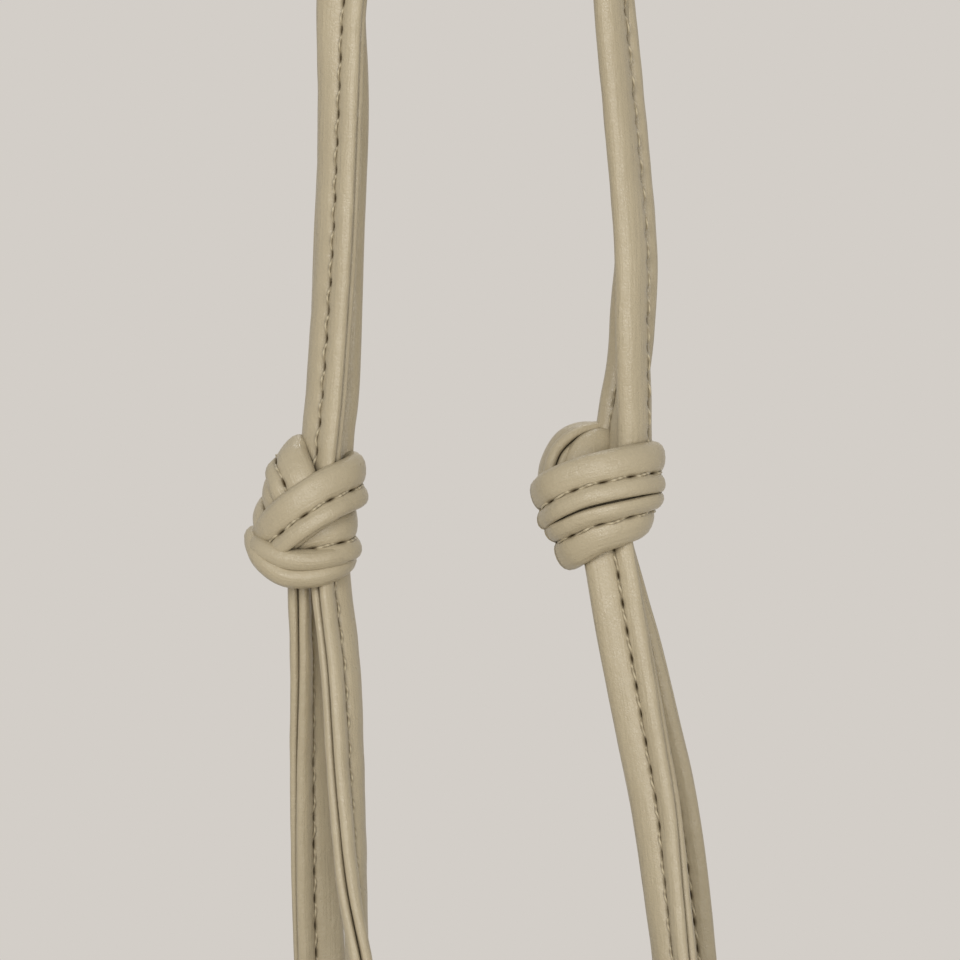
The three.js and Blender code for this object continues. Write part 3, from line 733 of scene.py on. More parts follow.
# %% [markdown]
# ## Drops
# Below each knot the two straps part, one to the front of the mouth and one to the rear. They hang
# straight down, reach the eyelets from inside the mouth and turn into them. They are the same folded
# strap as above the knots, so only their stops are new. The rear half of the mouth is the front half
# turned round, so one function of the flap serves both.

# %% Mouth flap
EYELET_SPACING = 19.0
EYELETS_X = [EYELET_SPACING * place for place in (-1.5, -0.5, 0.5, 1.5)]
EYELET_H = 40.0  # eyelets over the fold line
FLAP_FOOT = np.array([0.0, -27.0, -266.0])
FLAP_LENGTH = 62.0
FLAP_LEAN = math.radians(10)


def flap_point(x, depth, h):
    """A point of the front mouth: across, into the flap and up it, from its foot, in mm."""
    x, depth, h = np.broadcast_arrays(x, depth, h)
    lean, rise = math.sin(FLAP_LEAN), math.cos(FLAP_LEAN)
    return (FLAP_FOOT + np.stack([x, depth * rise + h * lean, h * rise - depth * lean], axis=-1)) * MM


def half_turn(points):
    """The same points on the rear half, which is the front half turned round."""
    return np.asarray(points) * (-1, -1, 1)


HALVES = {"front": np.asarray, "rear": half_turn}
print("eyelets %.0f mm apart" % EYELET_SPACING)

# %% Drops
# As for the handle straps: right, up, near, turn and bend, from inside the knot downwards.
DROP_STOPS = {
    "front_drop_left": [
        (-23.2, -9.5, 0.4, 122, 0), (-22.9, -13.0, 0.8, 120, 4), (-22.6, -16.9, 1.0, 119, 9),
        (-21.2, -29.2, 3.6, 118, 11), (-20.5, -43.1, 5.6, 114, 11), (-20.1, -51.4, 6.6, 109, 10),
        (-19.5, -62.6, 7.8, 99, 8), (-18.7, -73.8, 9.0, 78, 4), (-18.4, -80.0, 9.6, 68, 0),
    ],
    "front_drop_right": [
        (18.8, -6.5, 1.0, 4, 0), (20.0, -12.3, 2.0, 5, 0), (21.8, -23.1, 3.2, 9, 0),
        (24.7, -38.6, 5.2, 25, 0), (26.9, -50.3, 6.6, 33, 0), (28.4, -62.1, 7.8, 43, 0),
        (29.8, -73.8, 9.0, 50, 0), (30.5, -80.0, 9.6, 50, 0),
    ],
    "rear_drop_left": [
        (-27.9, -9.5, -1.6, 95, 0), (-27.6, -13.0, -2.2, 98, 0), (-27.2, -16.9, -2.6, 102, 0),
        (-26.2, -29.2, -4.0, 117, 0), (-25.7, -43.1, -5.6, 133, 0), (-25.2, -60.0, -7.4, 149, -3),
        (-24.6, -73.8, -9.0, 168, -16), (-24.3, -80.0, -9.6, 173, -18),
    ],
    "rear_drop_right": [
        (18.4, -6.5, -1.0, 16, 0), (20.4, -13.5, -2.0, 16, 0), (22.5, -20.9, -3.0, 14, 0),
        (24.2, -26.9, -3.8, 12, 0), (27.0, -38.6, -5.2, 8, 0), (29.0, -47.0, -6.2, 4, 0),
        (30.5, -56.2, -7.2, -2, 0), (32.5, -73.8, -9.0, -24, 0), (33.2, -80.0, -9.6, -30, 0),
    ],
}
DROP_END_TURN = {"front_drop_left": 0, "front_drop_right": 0, "rear_drop_left": 180, "rear_drop_right": 0}
# Depth into the flap and height over the fold line of a drop's last stops.
DROP_FOOT = [(6.7, 60.0), (6.6, 52.0), (6.5, 46.5), (5.9, 42.6), (4.4, 40.4), (2.6, 40.0)]
FOOT_EASE = (0.55, 0.2, 0.04, 0.0, 0.0, 0.0)


def eyelet_rows(name):
    """The last stops of a drop: down the inside of the flap, then into the eyelet."""
    side, _, hand = name.split("_")
    x = EYELETS_X[0] if (hand == "left") == (side == "front") else EYELETS_X[-1]
    return [(*HALVES[side](flap_point(x, depth, h)), DROP_END_TURN[name]) for depth, h in DROP_FOOT]


def ease_foot(last, foot):
    """Lets the first stops inside the flap still follow the drop's last stop above it."""
    eased = []
    for share, (x, y, z, turn) in zip(FOOT_EASE, foot):
        eased.append((x + (last[0] - x) * share, y, z, turn + (last[3] - turn) * share, 0))
    return eased


drops = {}
for name, stops in DROP_STOPS.items():
    hanging = stop_rows(stops)
    rows = smooth_rows(hanging + ease_foot(hanging[-1], eyelet_rows(name)))
    drops[name] = hang_strap(name, None, rows)

# %% [markdown]
# ## Knots
# Both straps of a leg are tied together in an overhand knot and pulled tight, so flat bands wrap over
# each other. A real knot could be tied by a simulation, but it would not settle as the one in the
# picture did. So each band that shows is a strap again, swept through stops round the knot: right, up
# and near from the knot's middle, and the way its face looks there. A core fills what they enclose.

# %% Left knot's bands
LEFT_KNOT = (-26.8, -4.8)
# Each band: which side its open edge is on, how far that edge bends away, whether the band closes on
# itself, and its stops.
LEFT_BANDS = {
    "collar_upper": (-1, 0, False, [
        (1.0, -3.4, -4.5, -0.2, -0.9, 0.3), (-2.8, -4.2, -3.2, -0.3, -0.9, 0.2),
        (-5.1, -5.5, -0.4, -0.42, -0.9, 0), (-4.9, -6.6, 2.0, -0.36, -0.93, 0.1),
        (-2.3, -7.4, 3.4, -0.15, -1, 0), (0.8, -7.5, 3.4, 0, -1, 0), (3.4, -7.1, 2.0, 0.2, -1, 0),
        (4.2, -6.4, -1.2, 0.3, -0.95, -0.1), (3.0, -5.6, -4.0, 0.2, -0.95, -0.2),
        (0.0, -4.8, -5.0, 0, -0.95, -0.3),
    ]),
    "collar_lower": (-1, 0, False, [
        (1.0, -3.8, -5.6, -0.2, -0.9, 0.3), (-3.8, -3.9, -3.8, -0.4, -0.88, 0.2),
        (-6.1, -5.5, -1.0, -0.6, -0.8, 0.1), (-5.6, -8.0, 1.5, -0.5, -0.86, 0.1),
        (-2.7, -9.9, 2.8, -0.18, -1, 0), (0.8, -10.0, 2.8, 0.1, -1, 0),
        (3.2, -9.2, 1.4, 0.28, -0.97, 0), (4.0, -8.2, -1.4, 0.35, -0.93, -0.1),
        (2.8, -7.5, -4.0, 0.2, -0.95, -0.2), (0.0, -7.0, -5.0, 0, -0.95, -0.3),
    ]),
    "shoulder": (-1, 42, False, [
        (4.4, -3.6, -5.4, 0.6, -0.2, -0.8), (1.6, -1.0, -7.4, 0, 0, -1),
        (-1.6, 2.8, -7.0, -0.3, 0.3, -0.9), (-2.2, 6.4, -4.8, -0.5, 0.6, -0.6),
        (-2.5, 8.5, -1.2, -0.74, 0.68, 0), (-3.2, 7.8, 1.8, -0.4, 0.4, 0.8),
        (-2.6, 5.8, 3.9, -0.18, 0.2, 0.97), (-1.7, 3.5, 4.9, -0.05, 0.12, 1), (0.2, -0.4, 4.6, 0, 0, 1),
    ]),
    "shoulder_second": (-1, 0, False, [
        (-2.0, 4.2, -5.6, -0.4, 0.5, -0.8), (-4.6, 3.4, -2.6, -0.85, 0.4, -0.2),
        (-5.3, 1.7, 0.3, -0.9, 0.25, 0.35), (-4.6, -0.4, 2.5, -0.6, 0.2, 0.75),
        (-3.2, -2.4, 3.5, -0.4, 0, 0.9), (-1.6, -4.4, 3.3, -0.2, 0, 1),
    ]),
    "diagonal_second": (1, 0, False, [
        (2.4, 1.0, -6.4, 0.3, 0.1, -0.95), (5.4, -1.4, -3.4, 0.9, 0, -0.4),
        (6.4, -3.3, 0.6, 0.97, 0.1, 0.25), (4.5, -4.1, 3.6, 0.5, 0.1, 0.85),
        (0.8, -4.9, 4.5, 0.1, 0.1, 1), (-2.8, -6.0, 3.4, -0.3, 0, 0.95),
        (-5.0, -7.0, 1.0, -0.8, -0.1, 0.5),
    ]),
    "diagonal": (1, 0, False, [
        (2.2, 6.4, -6.0, 0.2, 0.4, -0.9), (5.6, 5.8, -4.2, 0.7, 0.3, -0.6),
        (7.5, 5.2, -1.2, 0.97, 0.05, 0), (7.2, 4.5, 2.0, 0.86, 0.08, 0.48),
        (4.8, 3.3, 4.9, 0.5, 0.15, 0.85), (1.8, 1.6, 6.5, 0.1, 0.15, 1),
        (-2.0, -1.1, 6.2, -0.3, 0.1, 0.95), (-5.0, -3.9, 3.6, -0.74, -0.05, 0.67),
        (-6.2, -6.2, 0.0, -0.95, -0.2, 0.2),
    ]),
}
print(len(LEFT_BANDS), "bands")

# %% Right knot's bands
RIGHT_KNOT = (18.15, -2.8)
RIGHT_BANDS = {
    "upper_wrap": (-1, 0, True, [
        (-8.3, -0.8, 0.0, -1, -0.25, 0), (-6.6, 0.6, 4.3, -0.72, -0.1, 0.7),
        (-3.0, 2.2, 6.4, -0.25, 0.14, 1), (1.0, 3.3, 6.8, 0.05, 0.16, 1),
        (5.2, 4.2, 5.4, 0.5, 0.16, 0.86), (8.0, 4.7, 2.2, 0.95, 0.12, 0.35),
        (8.5, 4.8, -1.5, 1, 0, -0.15), (6.5, 5.0, -5.0, 0.65, 0, -0.75), (1.5, 3.6, -6.8, 0.1, 0, -1),
        (-4.0, 1.2, -6.0, -0.45, 0, -0.9), (-7.5, -0.6, -3.2, -0.9, -0.15, -0.4),
    ]),
    "lower_wrap": (1, 0, True, [
        (-5.4, -7.3, 0.5, -0.9, -0.42, 0.1), (-3.9, -6.6, 3.4, -0.55, -0.42, 0.72),
        (-0.8, -4.95, 5.2, -0.1, -0.4, 0.9), (2.9, -3.8, 5.0, 0.25, -0.42, 0.85),
        (6.0, -2.8, 2.9, 0.72, -0.42, 0.55), (7.3, -2.3, -0.2, 0.9, -0.42, 0),
        (6.0, -2.6, -3.6, 0.66, -0.42, -0.6), (2.0, -4.2, -5.2, 0.1, -0.4, -0.9),
        (-2.6, -6.0, -4.4, -0.46, -0.4, -0.75), (-4.9, -7.2, -2.0, -0.86, -0.42, -0.3),
    ]),
    "arch_inner": (-1, 0, False, [
        (-1.8, -1.0, 0.4, -0.2, 0.1, 0.97), (-1.9, 3.0, 0.0, -0.2, 0.2, 0.95),
        (-1.0, 6.0, -0.9, -0.1, 0.25, 0.95), (1.3, 7.1, -2.6, 0, 0.25, 0.95),
        (4.4, 6.2, -4.8, 0.1, 0.2, 0.95),
    ]),
    "arch": (-1, 0, False, [
        (-6.4, -2.0, 0.0, -1, 0, 0.2), (-7.2, 2.0, -2.0, -1, 0.1, 0.1),
        (-6.6, 6.0, -3.8, -0.85, 0.5, 0.1), (-4.2, 9.1, -5.4, -0.45, 0.9, 0.1),
        (-0.8, 10.1, -7.0, 0, 1, 0), (3.0, 9.0, -8.0, 0.4, 0.8, -0.4), (5.0, 5.8, -8.6, 0.4, 0.4, -0.8),
        (4.4, 1.0, -8.9, 0.2, 0.1, -1), (1.4, -4.2, -7.4, 0.1, -0.2, -1),
        (-0.2, -7.0, -4.6, 0, -0.7, -0.8), (-0.4, -7.6, -1.5, 0, -1, -0.2),
    ]),
}
print(len(RIGHT_BANDS), "bands")

# %% Knots
# The middle and the half sizes of each core.
CORES = {"left": (LEFT_KNOT, (6.0, 8.6, 5.0)), "right": ((RIGHT_KNOT[0], -5.2), (6.4, 6.6, 5.2))}
CORE_COLUMNS, CORE_ROWS = 28, 18


def knot_rows(middle, stops):
    """Rows of x, y, z and face direction from stops round a knot's middle."""
    rows = []
    for right, up, near, face_right, face_up, face_near in stops:
        face = face_right * right_axis + face_up * up_axis + face_near * near_axis
        rows.append((*in_picture(middle[0] + right, middle[1] + up, near), *face))
    return rows


def ball(middle, half_sizes):
    """A closed round core, with its poles above and below."""
    vertices = []
    for polar in np.linspace(0, math.pi, CORE_ROWS + 1)[1:-1]:
        for turn in ring_angles(CORE_COLUMNS):
            spot = (math.sin(polar) * math.cos(turn), math.cos(polar), math.sin(polar) * math.sin(turn))
            right, up, near = (a * b for a, b in zip(spot, half_sizes))
            vertices.append(in_picture(middle[0] + right, middle[1] + up, near))
    return vertices, ring_faces(CORE_ROWS - 1, CORE_COLUMNS)


for side, middle, bands in (("left", LEFT_KNOT, LEFT_BANDS), ("right", RIGHT_KNOT, RIGHT_BANDS)):
    parts = MeshParts()
    for lips, bend, closed, stops in bands.values():
        rows = smooth_rows(knot_rows(middle, stops + stops[:1] if closed else stops))
        across = np.cross(rows[:, 3:], np.gradient(rows[:, :3], axis=0))
        lay_strap(parts, rows[:, :3], across, lips, bend)
    parts.add(*ball(*CORES[side]))
    knot = "knot_" + side
    dress(parts, knot + "_tied", strap_look, "handle", "strap_leather", knot)

# %% [markdown]
# ## Cords
# The straps are limp cords of a fixed length. Each drop's place is baked into its mesh here.

for name, (piece, path) in drops.items():
    path = path[::-1]
    side = name.split("_")[0]
    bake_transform(piece)

# %% [markdown]
# ## The pouch's shape
# The pouch is a soft bag with a flat, stiffened base: narrow at its fold line, widest at its belly.
# These are the frame's own sections in millimetres, so that every skin lies where its solid is. A few
# shallow folds are added to the leather: gathers that hang from the eyelets, and sags near the base.
# A cloth simulation could make folds too, but these stay where the joints bend the leather.

# %% Sections of the pouch
BASE_Z, BELLY_Z, FOLD_Z = -402.0, -350.0, FLAP_FOOT[2]
WALL_FOOT_H = -134.0  # the walls' lower edge, from the fold line
# Half width, half depth, bow of the front and bow of the side.
BASE_SECTION = np.array([62.0, 30.0, 13.0, 18.0])
BELLY_SECTION = np.array([66.0, 32.0, 17.0, 24.0])
FOLD_SECTION = np.array([58.0, -FLAP_FOOT[1], 0.0, 12.0])
TONGUE_BOW, TONGUE_RISE = 4.0, 44.0
GUSSET_INSET = 2.1
SEAM_EDGE = 0.4


def section_at(h):
    """Half width, half depth, front bow and side bow at a height over the fold line."""
    h = np.asarray(h, float)
    z = FOLD_Z + h[..., None]
    low = np.clip((BELLY_Z - z) / (BELLY_Z - BASE_Z), 0, 1) ** 2
    high = (1 - np.cos(np.pi * np.clip((z - BELLY_Z) / (FOLD_Z - BELLY_Z), 0, 1))) / 2
    section = BELLY_SECTION + low * (BASE_SECTION - BELLY_SECTION) + high * (FOLD_SECTION - BELLY_SECTION)
    rise = np.clip(h, 0, None)
    section[..., 1] -= rise * math.tan(FLAP_LEAN)
    section[..., 3] += (TONGUE_BOW - FOLD_SECTION[3]) * rise / TONGUE_RISE
    return section


def corner_x(h):
    """Where a wall's edge meets the gusset."""
    width, depth, _, bow = np.moveaxis(section_at(h), -1, 0)
    return width + bow * (1 - ((depth - GUSSET_INSET) / depth) ** 2) + SEAM_EDGE


print("wall is %.0f mm wide at the belly" % (2 * corner_x(BELLY_Z - FOLD_Z)))

# %% Outline of a wall with its flap
FLAP_FOOT_HALF, FLAP_TOP_HALF, FLAP_CORNER = 57.0, 52.0, 10.0
FOLD_EASE = 3.0  # wall and flap run into each other within this height of the fold line


def flap_taper(h):
    return FLAP_FOOT_HALF + (FLAP_TOP_HALF - FLAP_FOOT_HALF) * np.clip(h / FLAP_LENGTH, 0, 1)


def straight_half(h):
    """Half the wall's width at a height over the fold line, as if the flap had square corners."""
    half = corner_x(np.minimum(h, 0.0))
    return half + (flap_taper(h) - half) * smooth_step((h + FOLD_EASE) / (2 * FOLD_EASE))


def corner_cut(h, top, radius):
    """How much a round corner under a sheet's top takes off its half width."""
    over = np.clip(h - (top - radius), 0, radius)
    return radius - np.sqrt(radius ** 2 - over ** 2)


def wall_half_width(h):
    return straight_half(h) - corner_cut(h, FLAP_LENGTH, FLAP_CORNER)


def edge_distance(x, h):
    """Distance from the wall's edge, round its upper corners too."""
    beside, below = straight_half(h) - np.abs(x), FLAP_LENGTH - h
    in_side, in_top = (np.clip(FLAP_CORNER - gap, 0, None) for gap in (beside, below))
    in_corner = (in_side > 0) & (in_top > 0)
    return np.where(in_corner, FLAP_CORNER - np.hypot(in_side, in_top), np.minimum(beside, below))


print("flap is %.0f mm wide at its top" % (2 * FLAP_TOP_HALF))

# %% Soft folds
# Place across, height over the fold line, lean, half length, half width and height of each fold.
WALL_FOLDS = [
    (0.0, -22.0, 90, 26.0, 6.0, 1.5), (-19.5, -26.0, 84, 30.0, 6.0, -1.3),
    (19.5, -24.0, 97, 30.0, 6.0, -1.3), (-38.0, -24.0, 78, 30.0, 6.5, 1.4),
    (38.0, -26.0, 102, 30.0, 6.5, 1.4), (-29.0, -62.0, 76, 24.0, 8.0, -0.9),
    (31.0, -66.0, 106, 26.0, 8.0, -0.9), (-44.0, -116.0, 28, 20.0, 4.5, -1.3),
    (-38.0, -108.0, 22, 24.0, 4.5, 1.0), (46.0, -112.0, 150, 20.0, 4.5, -1.2),
    (36.0, -120.0, 158, 24.0, 4.0, 0.9), (6.0, -92.0, 8, 34.0, 11.0, 0.9),
    (-8.0, -114.0, 174, 30.0, 7.0, -0.8),
]
GUSSET_FOLDS = [
    (0.0, -20.0, 90, 40.0, 7.0, -2.2), (-12.0, -36.0, 60, 20.0, 4.5, 1.0),
    (12.0, -40.0, 120, 22.0, 4.5, 0.9), (-8.0, -104.0, 24, 16.0, 4.5, -1.2),
    (9.0, -112.0, 152, 18.0, 4.5, -1.1), (2.0, -84.0, 10, 22.0, 8.0, 0.9),
]
WALL_HOLD, GUSSET_HOLD = 16.0, 12.0  # folds fade out this near a sewn edge
FOLDS_END = 4.0  # the wall's folds fade out from here up, the mouth's gathers in from the fold line
FADE_H = 20.0
GATHER_HEIGHT, GATHER_SPACING = 1.5, 2 * EYELET_SPACING
GATHER_SIDE = 14.0  # gathers fade out this near the flap's sides
EYELET_CALM = 12.0  # the mouth lies flat this near the eyelets' row
GROOVE_DEPTH, GROOVE_WIDTH = 0.32, 0.75
STITCH_INSET = 4.0


def soft_folds(folds, across, h):
    """How far the leather stands out because of its folds."""
    out = np.zeros(np.broadcast(across, h).shape)
    for x, height, lean, half_length, half_width, amount in folds:
        angle = math.radians(lean)
        dx, dz = across - x, h - height
        u = (dx * math.cos(angle) + dz * math.sin(angle)) / half_length
        v = (dz * math.cos(angle) - dx * math.sin(angle)) / half_width
        out += amount * np.exp(-u * u - v * v)
    return out


def wall_lift(x, h):
    """The wall's folds below the fold line, and the mouth's gathers above it."""
    folds = soft_folds(WALL_FOLDS, x, h) * smooth_step(edge_distance(x, h) / WALL_HOLD)
    folds = folds * (1 - smooth_step((h - FOLDS_END) / FADE_H))
    gathers = GATHER_HEIGHT * np.cos(2 * np.pi * x / GATHER_SPACING)
    gathers = gathers * (1 - np.exp(-((h - EYELET_H) / EYELET_CALM) ** 4))
    return folds + gathers * smooth_step(h / FADE_H) * smooth_step((FLAP_TOP_HALF - np.abs(x)) / GATHER_SIDE)


print(len(WALL_FOLDS), "folds in a wall,", len(GUSSET_FOLDS), "in a gusset")

# %% Skins of the walls and gussets
def front_skin(x, h, inward=0.0, groove=True):
    """Points of the front wall in metres, for places across and heights over the fold line in mm."""
    x, h = np.broadcast_arrays(np.asarray(x, float), np.asarray(h, float))
    width, depth, bow, _ = np.moveaxis(section_at(np.minimum(h, 0.0)), -1, 0)
    wall_y = -depth - bow * np.clip(1 - (x / width) ** 2, 0, None)
    lift = wall_lift(x, h) - inward
    if groove:
        lift = lift - GROOVE_DEPTH * bell((edge_distance(x, h) - STITCH_INSET) / GROOVE_WIDTH)
    lean = np.clip(h / FOLD_EASE, 0, 1) * FLAP_LEAN
    y = np.where(h > 0, FLAP_FOOT[1] + h * math.sin(FLAP_LEAN), wall_y) - lift * np.cos(lean)
    z = FOLD_Z + np.where(h > 0, h * math.cos(FLAP_LEAN), h) + lift * np.sin(lean)
    return np.stack([x, y, z], axis=-1) * MM


def gusset_skin(y_share, h, inward=0.0):
    """Points of the right-hand gusset, from its front edge at -1 to its rear edge at 1."""
    y_share, h = np.broadcast_arrays(np.asarray(y_share, float), np.asarray(h, float))
    width, depth, _, bow = np.moveaxis(section_at(h), -1, 0)
    reach = depth - GUSSET_INSET
    y = y_share * reach
    lift = soft_folds(GUSSET_FOLDS, y, h) * smooth_step((1 - np.abs(y_share)) * reach / GUSSET_HOLD) - inward
    return np.stack([width + bow * (1 - (y / depth) ** 2) + lift, y, FOLD_Z + h], axis=-1) * MM


print("belly's front at %.0f mm" % (front_skin(0, BELLY_Z - FOLD_Z)[1] / MM))

# %% [markdown]
# ## Soft sheets
# Panels, gussets, lining and facings are all sheets with a thickness. Blender's Solidify modifier could
# thicken a plane, but it gives a square rim. Here a sheet starts as a grid of points on its outer face.
# Its inner face lies behind it, its rim is rounded like a cut and inked edge, and holes for the eyelets
# are cut through both faces and walled.

# %% Soft sheets
RIM_ANGLES = np.radians([60, 20, -20, -60])
SHEET_STITCH_STEP = 1.0 * MM


def cells_in_holes(grid, holes):
    """Which cells of a grid lie in a hole. A hole has a middle, an axis and a radius."""
    centre = (grid[:-1, :-1] + grid[1:, :-1] + grid[:-1, 1:] + grid[1:, 1:]) / 4
    cut = np.zeros(centre.shape[:2], bool)
    for middle, axis, radius in holes:
        aside = centre - middle
        aside = aside - np.sum(aside * axis, axis=-1, keepdims=True) * axis
        cut |= np.linalg.norm(aside, axis=-1) < radius
    return cut


def sheet_faces(outer, inner, cut):
    """Faces of a sheet's outer and inner side, and the walls of its holes between them."""
    faces = []
    rows, columns = cut.shape
    for i, j in np.ndindex(rows, columns):
        ring = [(i, j), (i, j + 1), (i + 1, j + 1), (i + 1, j)]
        if not cut[i, j]:
            faces += [tuple(outer[p] for p in ring), tuple(inner[p] for p in ring[::-1])]
            continue
        neighbours = ((i - 1, j), (i, j + 1), (i + 1, j), (i, j - 1))
        for p, q, (row, column) in zip(ring, ring[1:] + ring[:1], neighbours):
            if not cut[min(max(row, 0), rows - 1), min(max(column, 0), columns - 1)]:
                faces.append((outer[p], outer[q], inner[q], inner[p]))
    return faces


def add_sheet(parts, grid, thickness, holes=(), crease=0.0):
    """Adds a sheet with the grid as its outer face, a rounded rim and its holes."""
    rows, columns = grid.shape[:2]
    size = rows * columns
    normal = unit(np.cross(np.gradient(grid, axis=1), np.gradient(grid, axis=0)))
    outer = np.arange(size).reshape(rows, columns)
    faces = sheet_faces(outer, outer + size, cells_in_holes(grid, holes))
    border = np.concatenate([outer[0, :-1], outer[:-1, -1], outer[-1, :0:-1], outer[:0:-1, 0]])
    edge, edge_normal = grid.reshape(-1, 3)[border], normal.reshape(-1, 3)[border]
    outward = unit(np.cross(np.roll(edge, -1, axis=0) - np.roll(edge, 1, axis=0), edge_normal))
    rim = [edge + (edge_normal * (math.sin(angle) - 1) + outward * math.cos(angle)) * thickness / 2
           for angle in RIM_ANGLES]
    points = np.vstack([grid.reshape(-1, 3), (grid - normal * thickness).reshape(-1, 3)] + rim)
    loops = [border, *np.arange(2 * size, len(points)).reshape(len(rim), -1), border + size]
    for here, there in zip(loops, loops[1:]):
        faces += zip(here, there, np.roll(there, -1), np.roll(here, -1))
    # The outer face carries the painted shade that it is given.
    shade = np.zeros(len(points))
    shade[:size] = np.ravel(crease)
    parts.add(points, faces, crease=shade)


def stitch_sheet(parts, points, outward):
    """Stitches along a line of points on a sheet whose face looks outward."""
    points = smooth_rows(points, SHEET_STITCH_STEP)
    outs, sides = square_to(points, outward)
    sew(parts, points, outs, sides, run_along(points))


print("rims of", len(RIM_ANGLES), "steps")

# %% [markdown]
# ## Front and rear walls
# Each wall and its mouth flap are one hide, folded along a line, so they are one mesh. It follows the
# pouch below the line and the mouth above it, and bends smoothly between. Stitches run four
# millimetres inside its edge. The grid is finer near the edges, where the stitches press a groove.

# %% Grid of a wall
WALL_THICKNESS = 1.6 * MM
EYELET_HOLE = 6.3 * MM
EDGE_STEPS = np.array([0.0, 0.6, 1.3, 2.0, 2.7, 3.3, 3.7, 4.0, 4.3, 4.7, 5.3, 6.2, 7.4, 9.0])
WALL_ROWS, FLAP_ROWS, WALL_COLUMNS = 62, 32, 66
WALL_SPAN, FLAP_SPAN = (-123.0, -4.0), (4.0, 51.0)  # heights between which rows are evenly spaced
BEND_STEPS = [-2.5, -1.2, 0.0, 1.2, 2.5]
# Painted shade along the pressed groove of the stitch row.
SEAM_SHADE, SEAM_SHADE_WIDTH = 0.35, 0.5  # the stitch row is a little darker


def edged_columns(half_width, inner_count):
    """Places across a wall, closer together near its edges, for each half width."""
    half_width = half_width[:, None]
    middle = np.linspace(-1, 1, inner_count)[None, 1:-1] * (half_width - EDGE_STEPS[-1])
    return np.hstack([-half_width + EDGE_STEPS, middle, (half_width - EDGE_STEPS)[:, ::-1]])


def eyelet_holes(turned):
    """The holes for one half's eyelets."""
    axis = unit(flap_point(0, 1, 0) - flap_point(0, 0, 0))
    return [(turned(flap_point(x, 0, EYELET_H)), turned(axis), EYELET_HOLE) for x in EYELETS_X]


wall_h = np.concatenate([
    WALL_FOOT_H + EDGE_STEPS, np.linspace(*WALL_SPAN, WALL_ROWS), BEND_STEPS,
    np.linspace(*FLAP_SPAN, FLAP_ROWS), FLAP_LENGTH - EDGE_STEPS[::-1]])
wall_x = edged_columns(wall_half_width(wall_h), WALL_COLUMNS)
wall_grid = front_skin(wall_x, wall_h[:, None])
# Painted shade along the stitch row's groove.
from_row = edge_distance(wall_x, wall_h[:, None]) - STITCH_INSET
wall_shade_mask = SEAM_SHADE * bell(from_row / SEAM_SHADE_WIDTH)
print("grid of", wall_grid.shape[0], "rows and", wall_grid.shape[1], "columns")

# %% Stitch rows of a wall
SIDE_ROW_FOOT = 8.0  # the side rows start this far over the wall's foot
CORNER_SHIFT = 0.4  # the flap still narrows along its corner
ROW_POINTS, CORNER_POINTS = 60, 8

side_h = np.linspace(WALL_FOOT_H + SIDE_ROW_FOOT, FLAP_LENGTH - FLAP_CORNER, ROW_POINTS)
side_row = np.column_stack([wall_half_width(side_h) - STITCH_INSET, side_h])
turn = np.linspace(0, math.pi / 2, CORNER_POINTS)[:, None]
corner_middle = np.array([FLAP_TOP_HALF - FLAP_CORNER + CORNER_SHIFT, FLAP_LENGTH - FLAP_CORNER])
corner_row = corner_middle + (FLAP_CORNER - STITCH_INSET) * np.hstack([np.cos(turn), np.sin(turn)])
right_row = np.vstack([side_row, corner_row])
upper_row = np.vstack([right_row * (-1, 1), right_row[::-1]])
foot_half = corner_x(WALL_FOOT_H) - STITCH_INSET
foot_row = np.column_stack([np.linspace(-foot_half, foot_half, ROW_POINTS),
                            np.full(ROW_POINTS, WALL_FOOT_H + STITCH_INSET)])
print("rows of", len(upper_row), "and", len(foot_row), "points")

for side, turned in HALVES.items():
    parts = MeshParts()
    add_sheet(parts, turned(wall_grid), WALL_THICKNESS, eyelet_holes(turned), wall_shade_mask)
    for row in (upper_row, foot_row):
        stitch_sheet(parts, turned(front_skin(row[:, 0], row[:, 1])), turned(near_axis))
    piece = dress(parts, side + "_wall_with_flap", pouch_look, None, "pouch_leather",
                  side + "_panel", side + "_flap")
    fold = turned(FLAP_FOOT * MM)
    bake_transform(piece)

# %% [markdown]
# ## Gussets and rolled seams
# A gusset closes each side and ends in a free tongue between the flaps. The corners are sewn over a
# thin roll of the same leather, so a round seam runs up each corner and round the base. The rolls are
# tubes along the corners, which is how a maker would lay the cord inside them.

# %% Gussets
GUSSET_THICKNESS = 1.8 * MM
TONGUE_CORNER = 9.0
GUSSET_ROWS, GUSSET_COLUMNS = 88, 36
TONGUE_TOP = 10.0  # the rows are closer together this near the tongue's top
HANDS = ("right", "left")  # the gusset beside the front's right edge, and its half turn

gusset_h = np.concatenate([np.linspace(WALL_FOOT_H, TONGUE_RISE - TONGUE_TOP, GUSSET_ROWS),
                           TONGUE_RISE - EDGE_STEPS[-2::-1]])
reach = section_at(gusset_h)[:, 1] - GUSSET_INSET
free_share = 1 - corner_cut(gusset_h, TONGUE_RISE, TONGUE_CORNER) / reach
gusset_y = np.linspace(-1, 1, GUSSET_COLUMNS)[None, :] * free_share[:, None]
gusset_grid = gusset_skin(gusset_y, gusset_h[:, None])
for hand, turned in zip(HANDS, HALVES.values()):
    parts = MeshParts()
    add_sheet(parts, turned(gusset_grid), GUSSET_THICKNESS)
    dress(parts, "gusset_%s_skin" % hand, pouch_look, "pouch", "pouch_leather", "gusset_" + hand)

# %% Outline of the base
BASE_FRONT_STEPS, BASE_SIDE_STEPS = 60, 30
SOFTENING = 6  # rounds in which the inset's direction is evened out round the corners


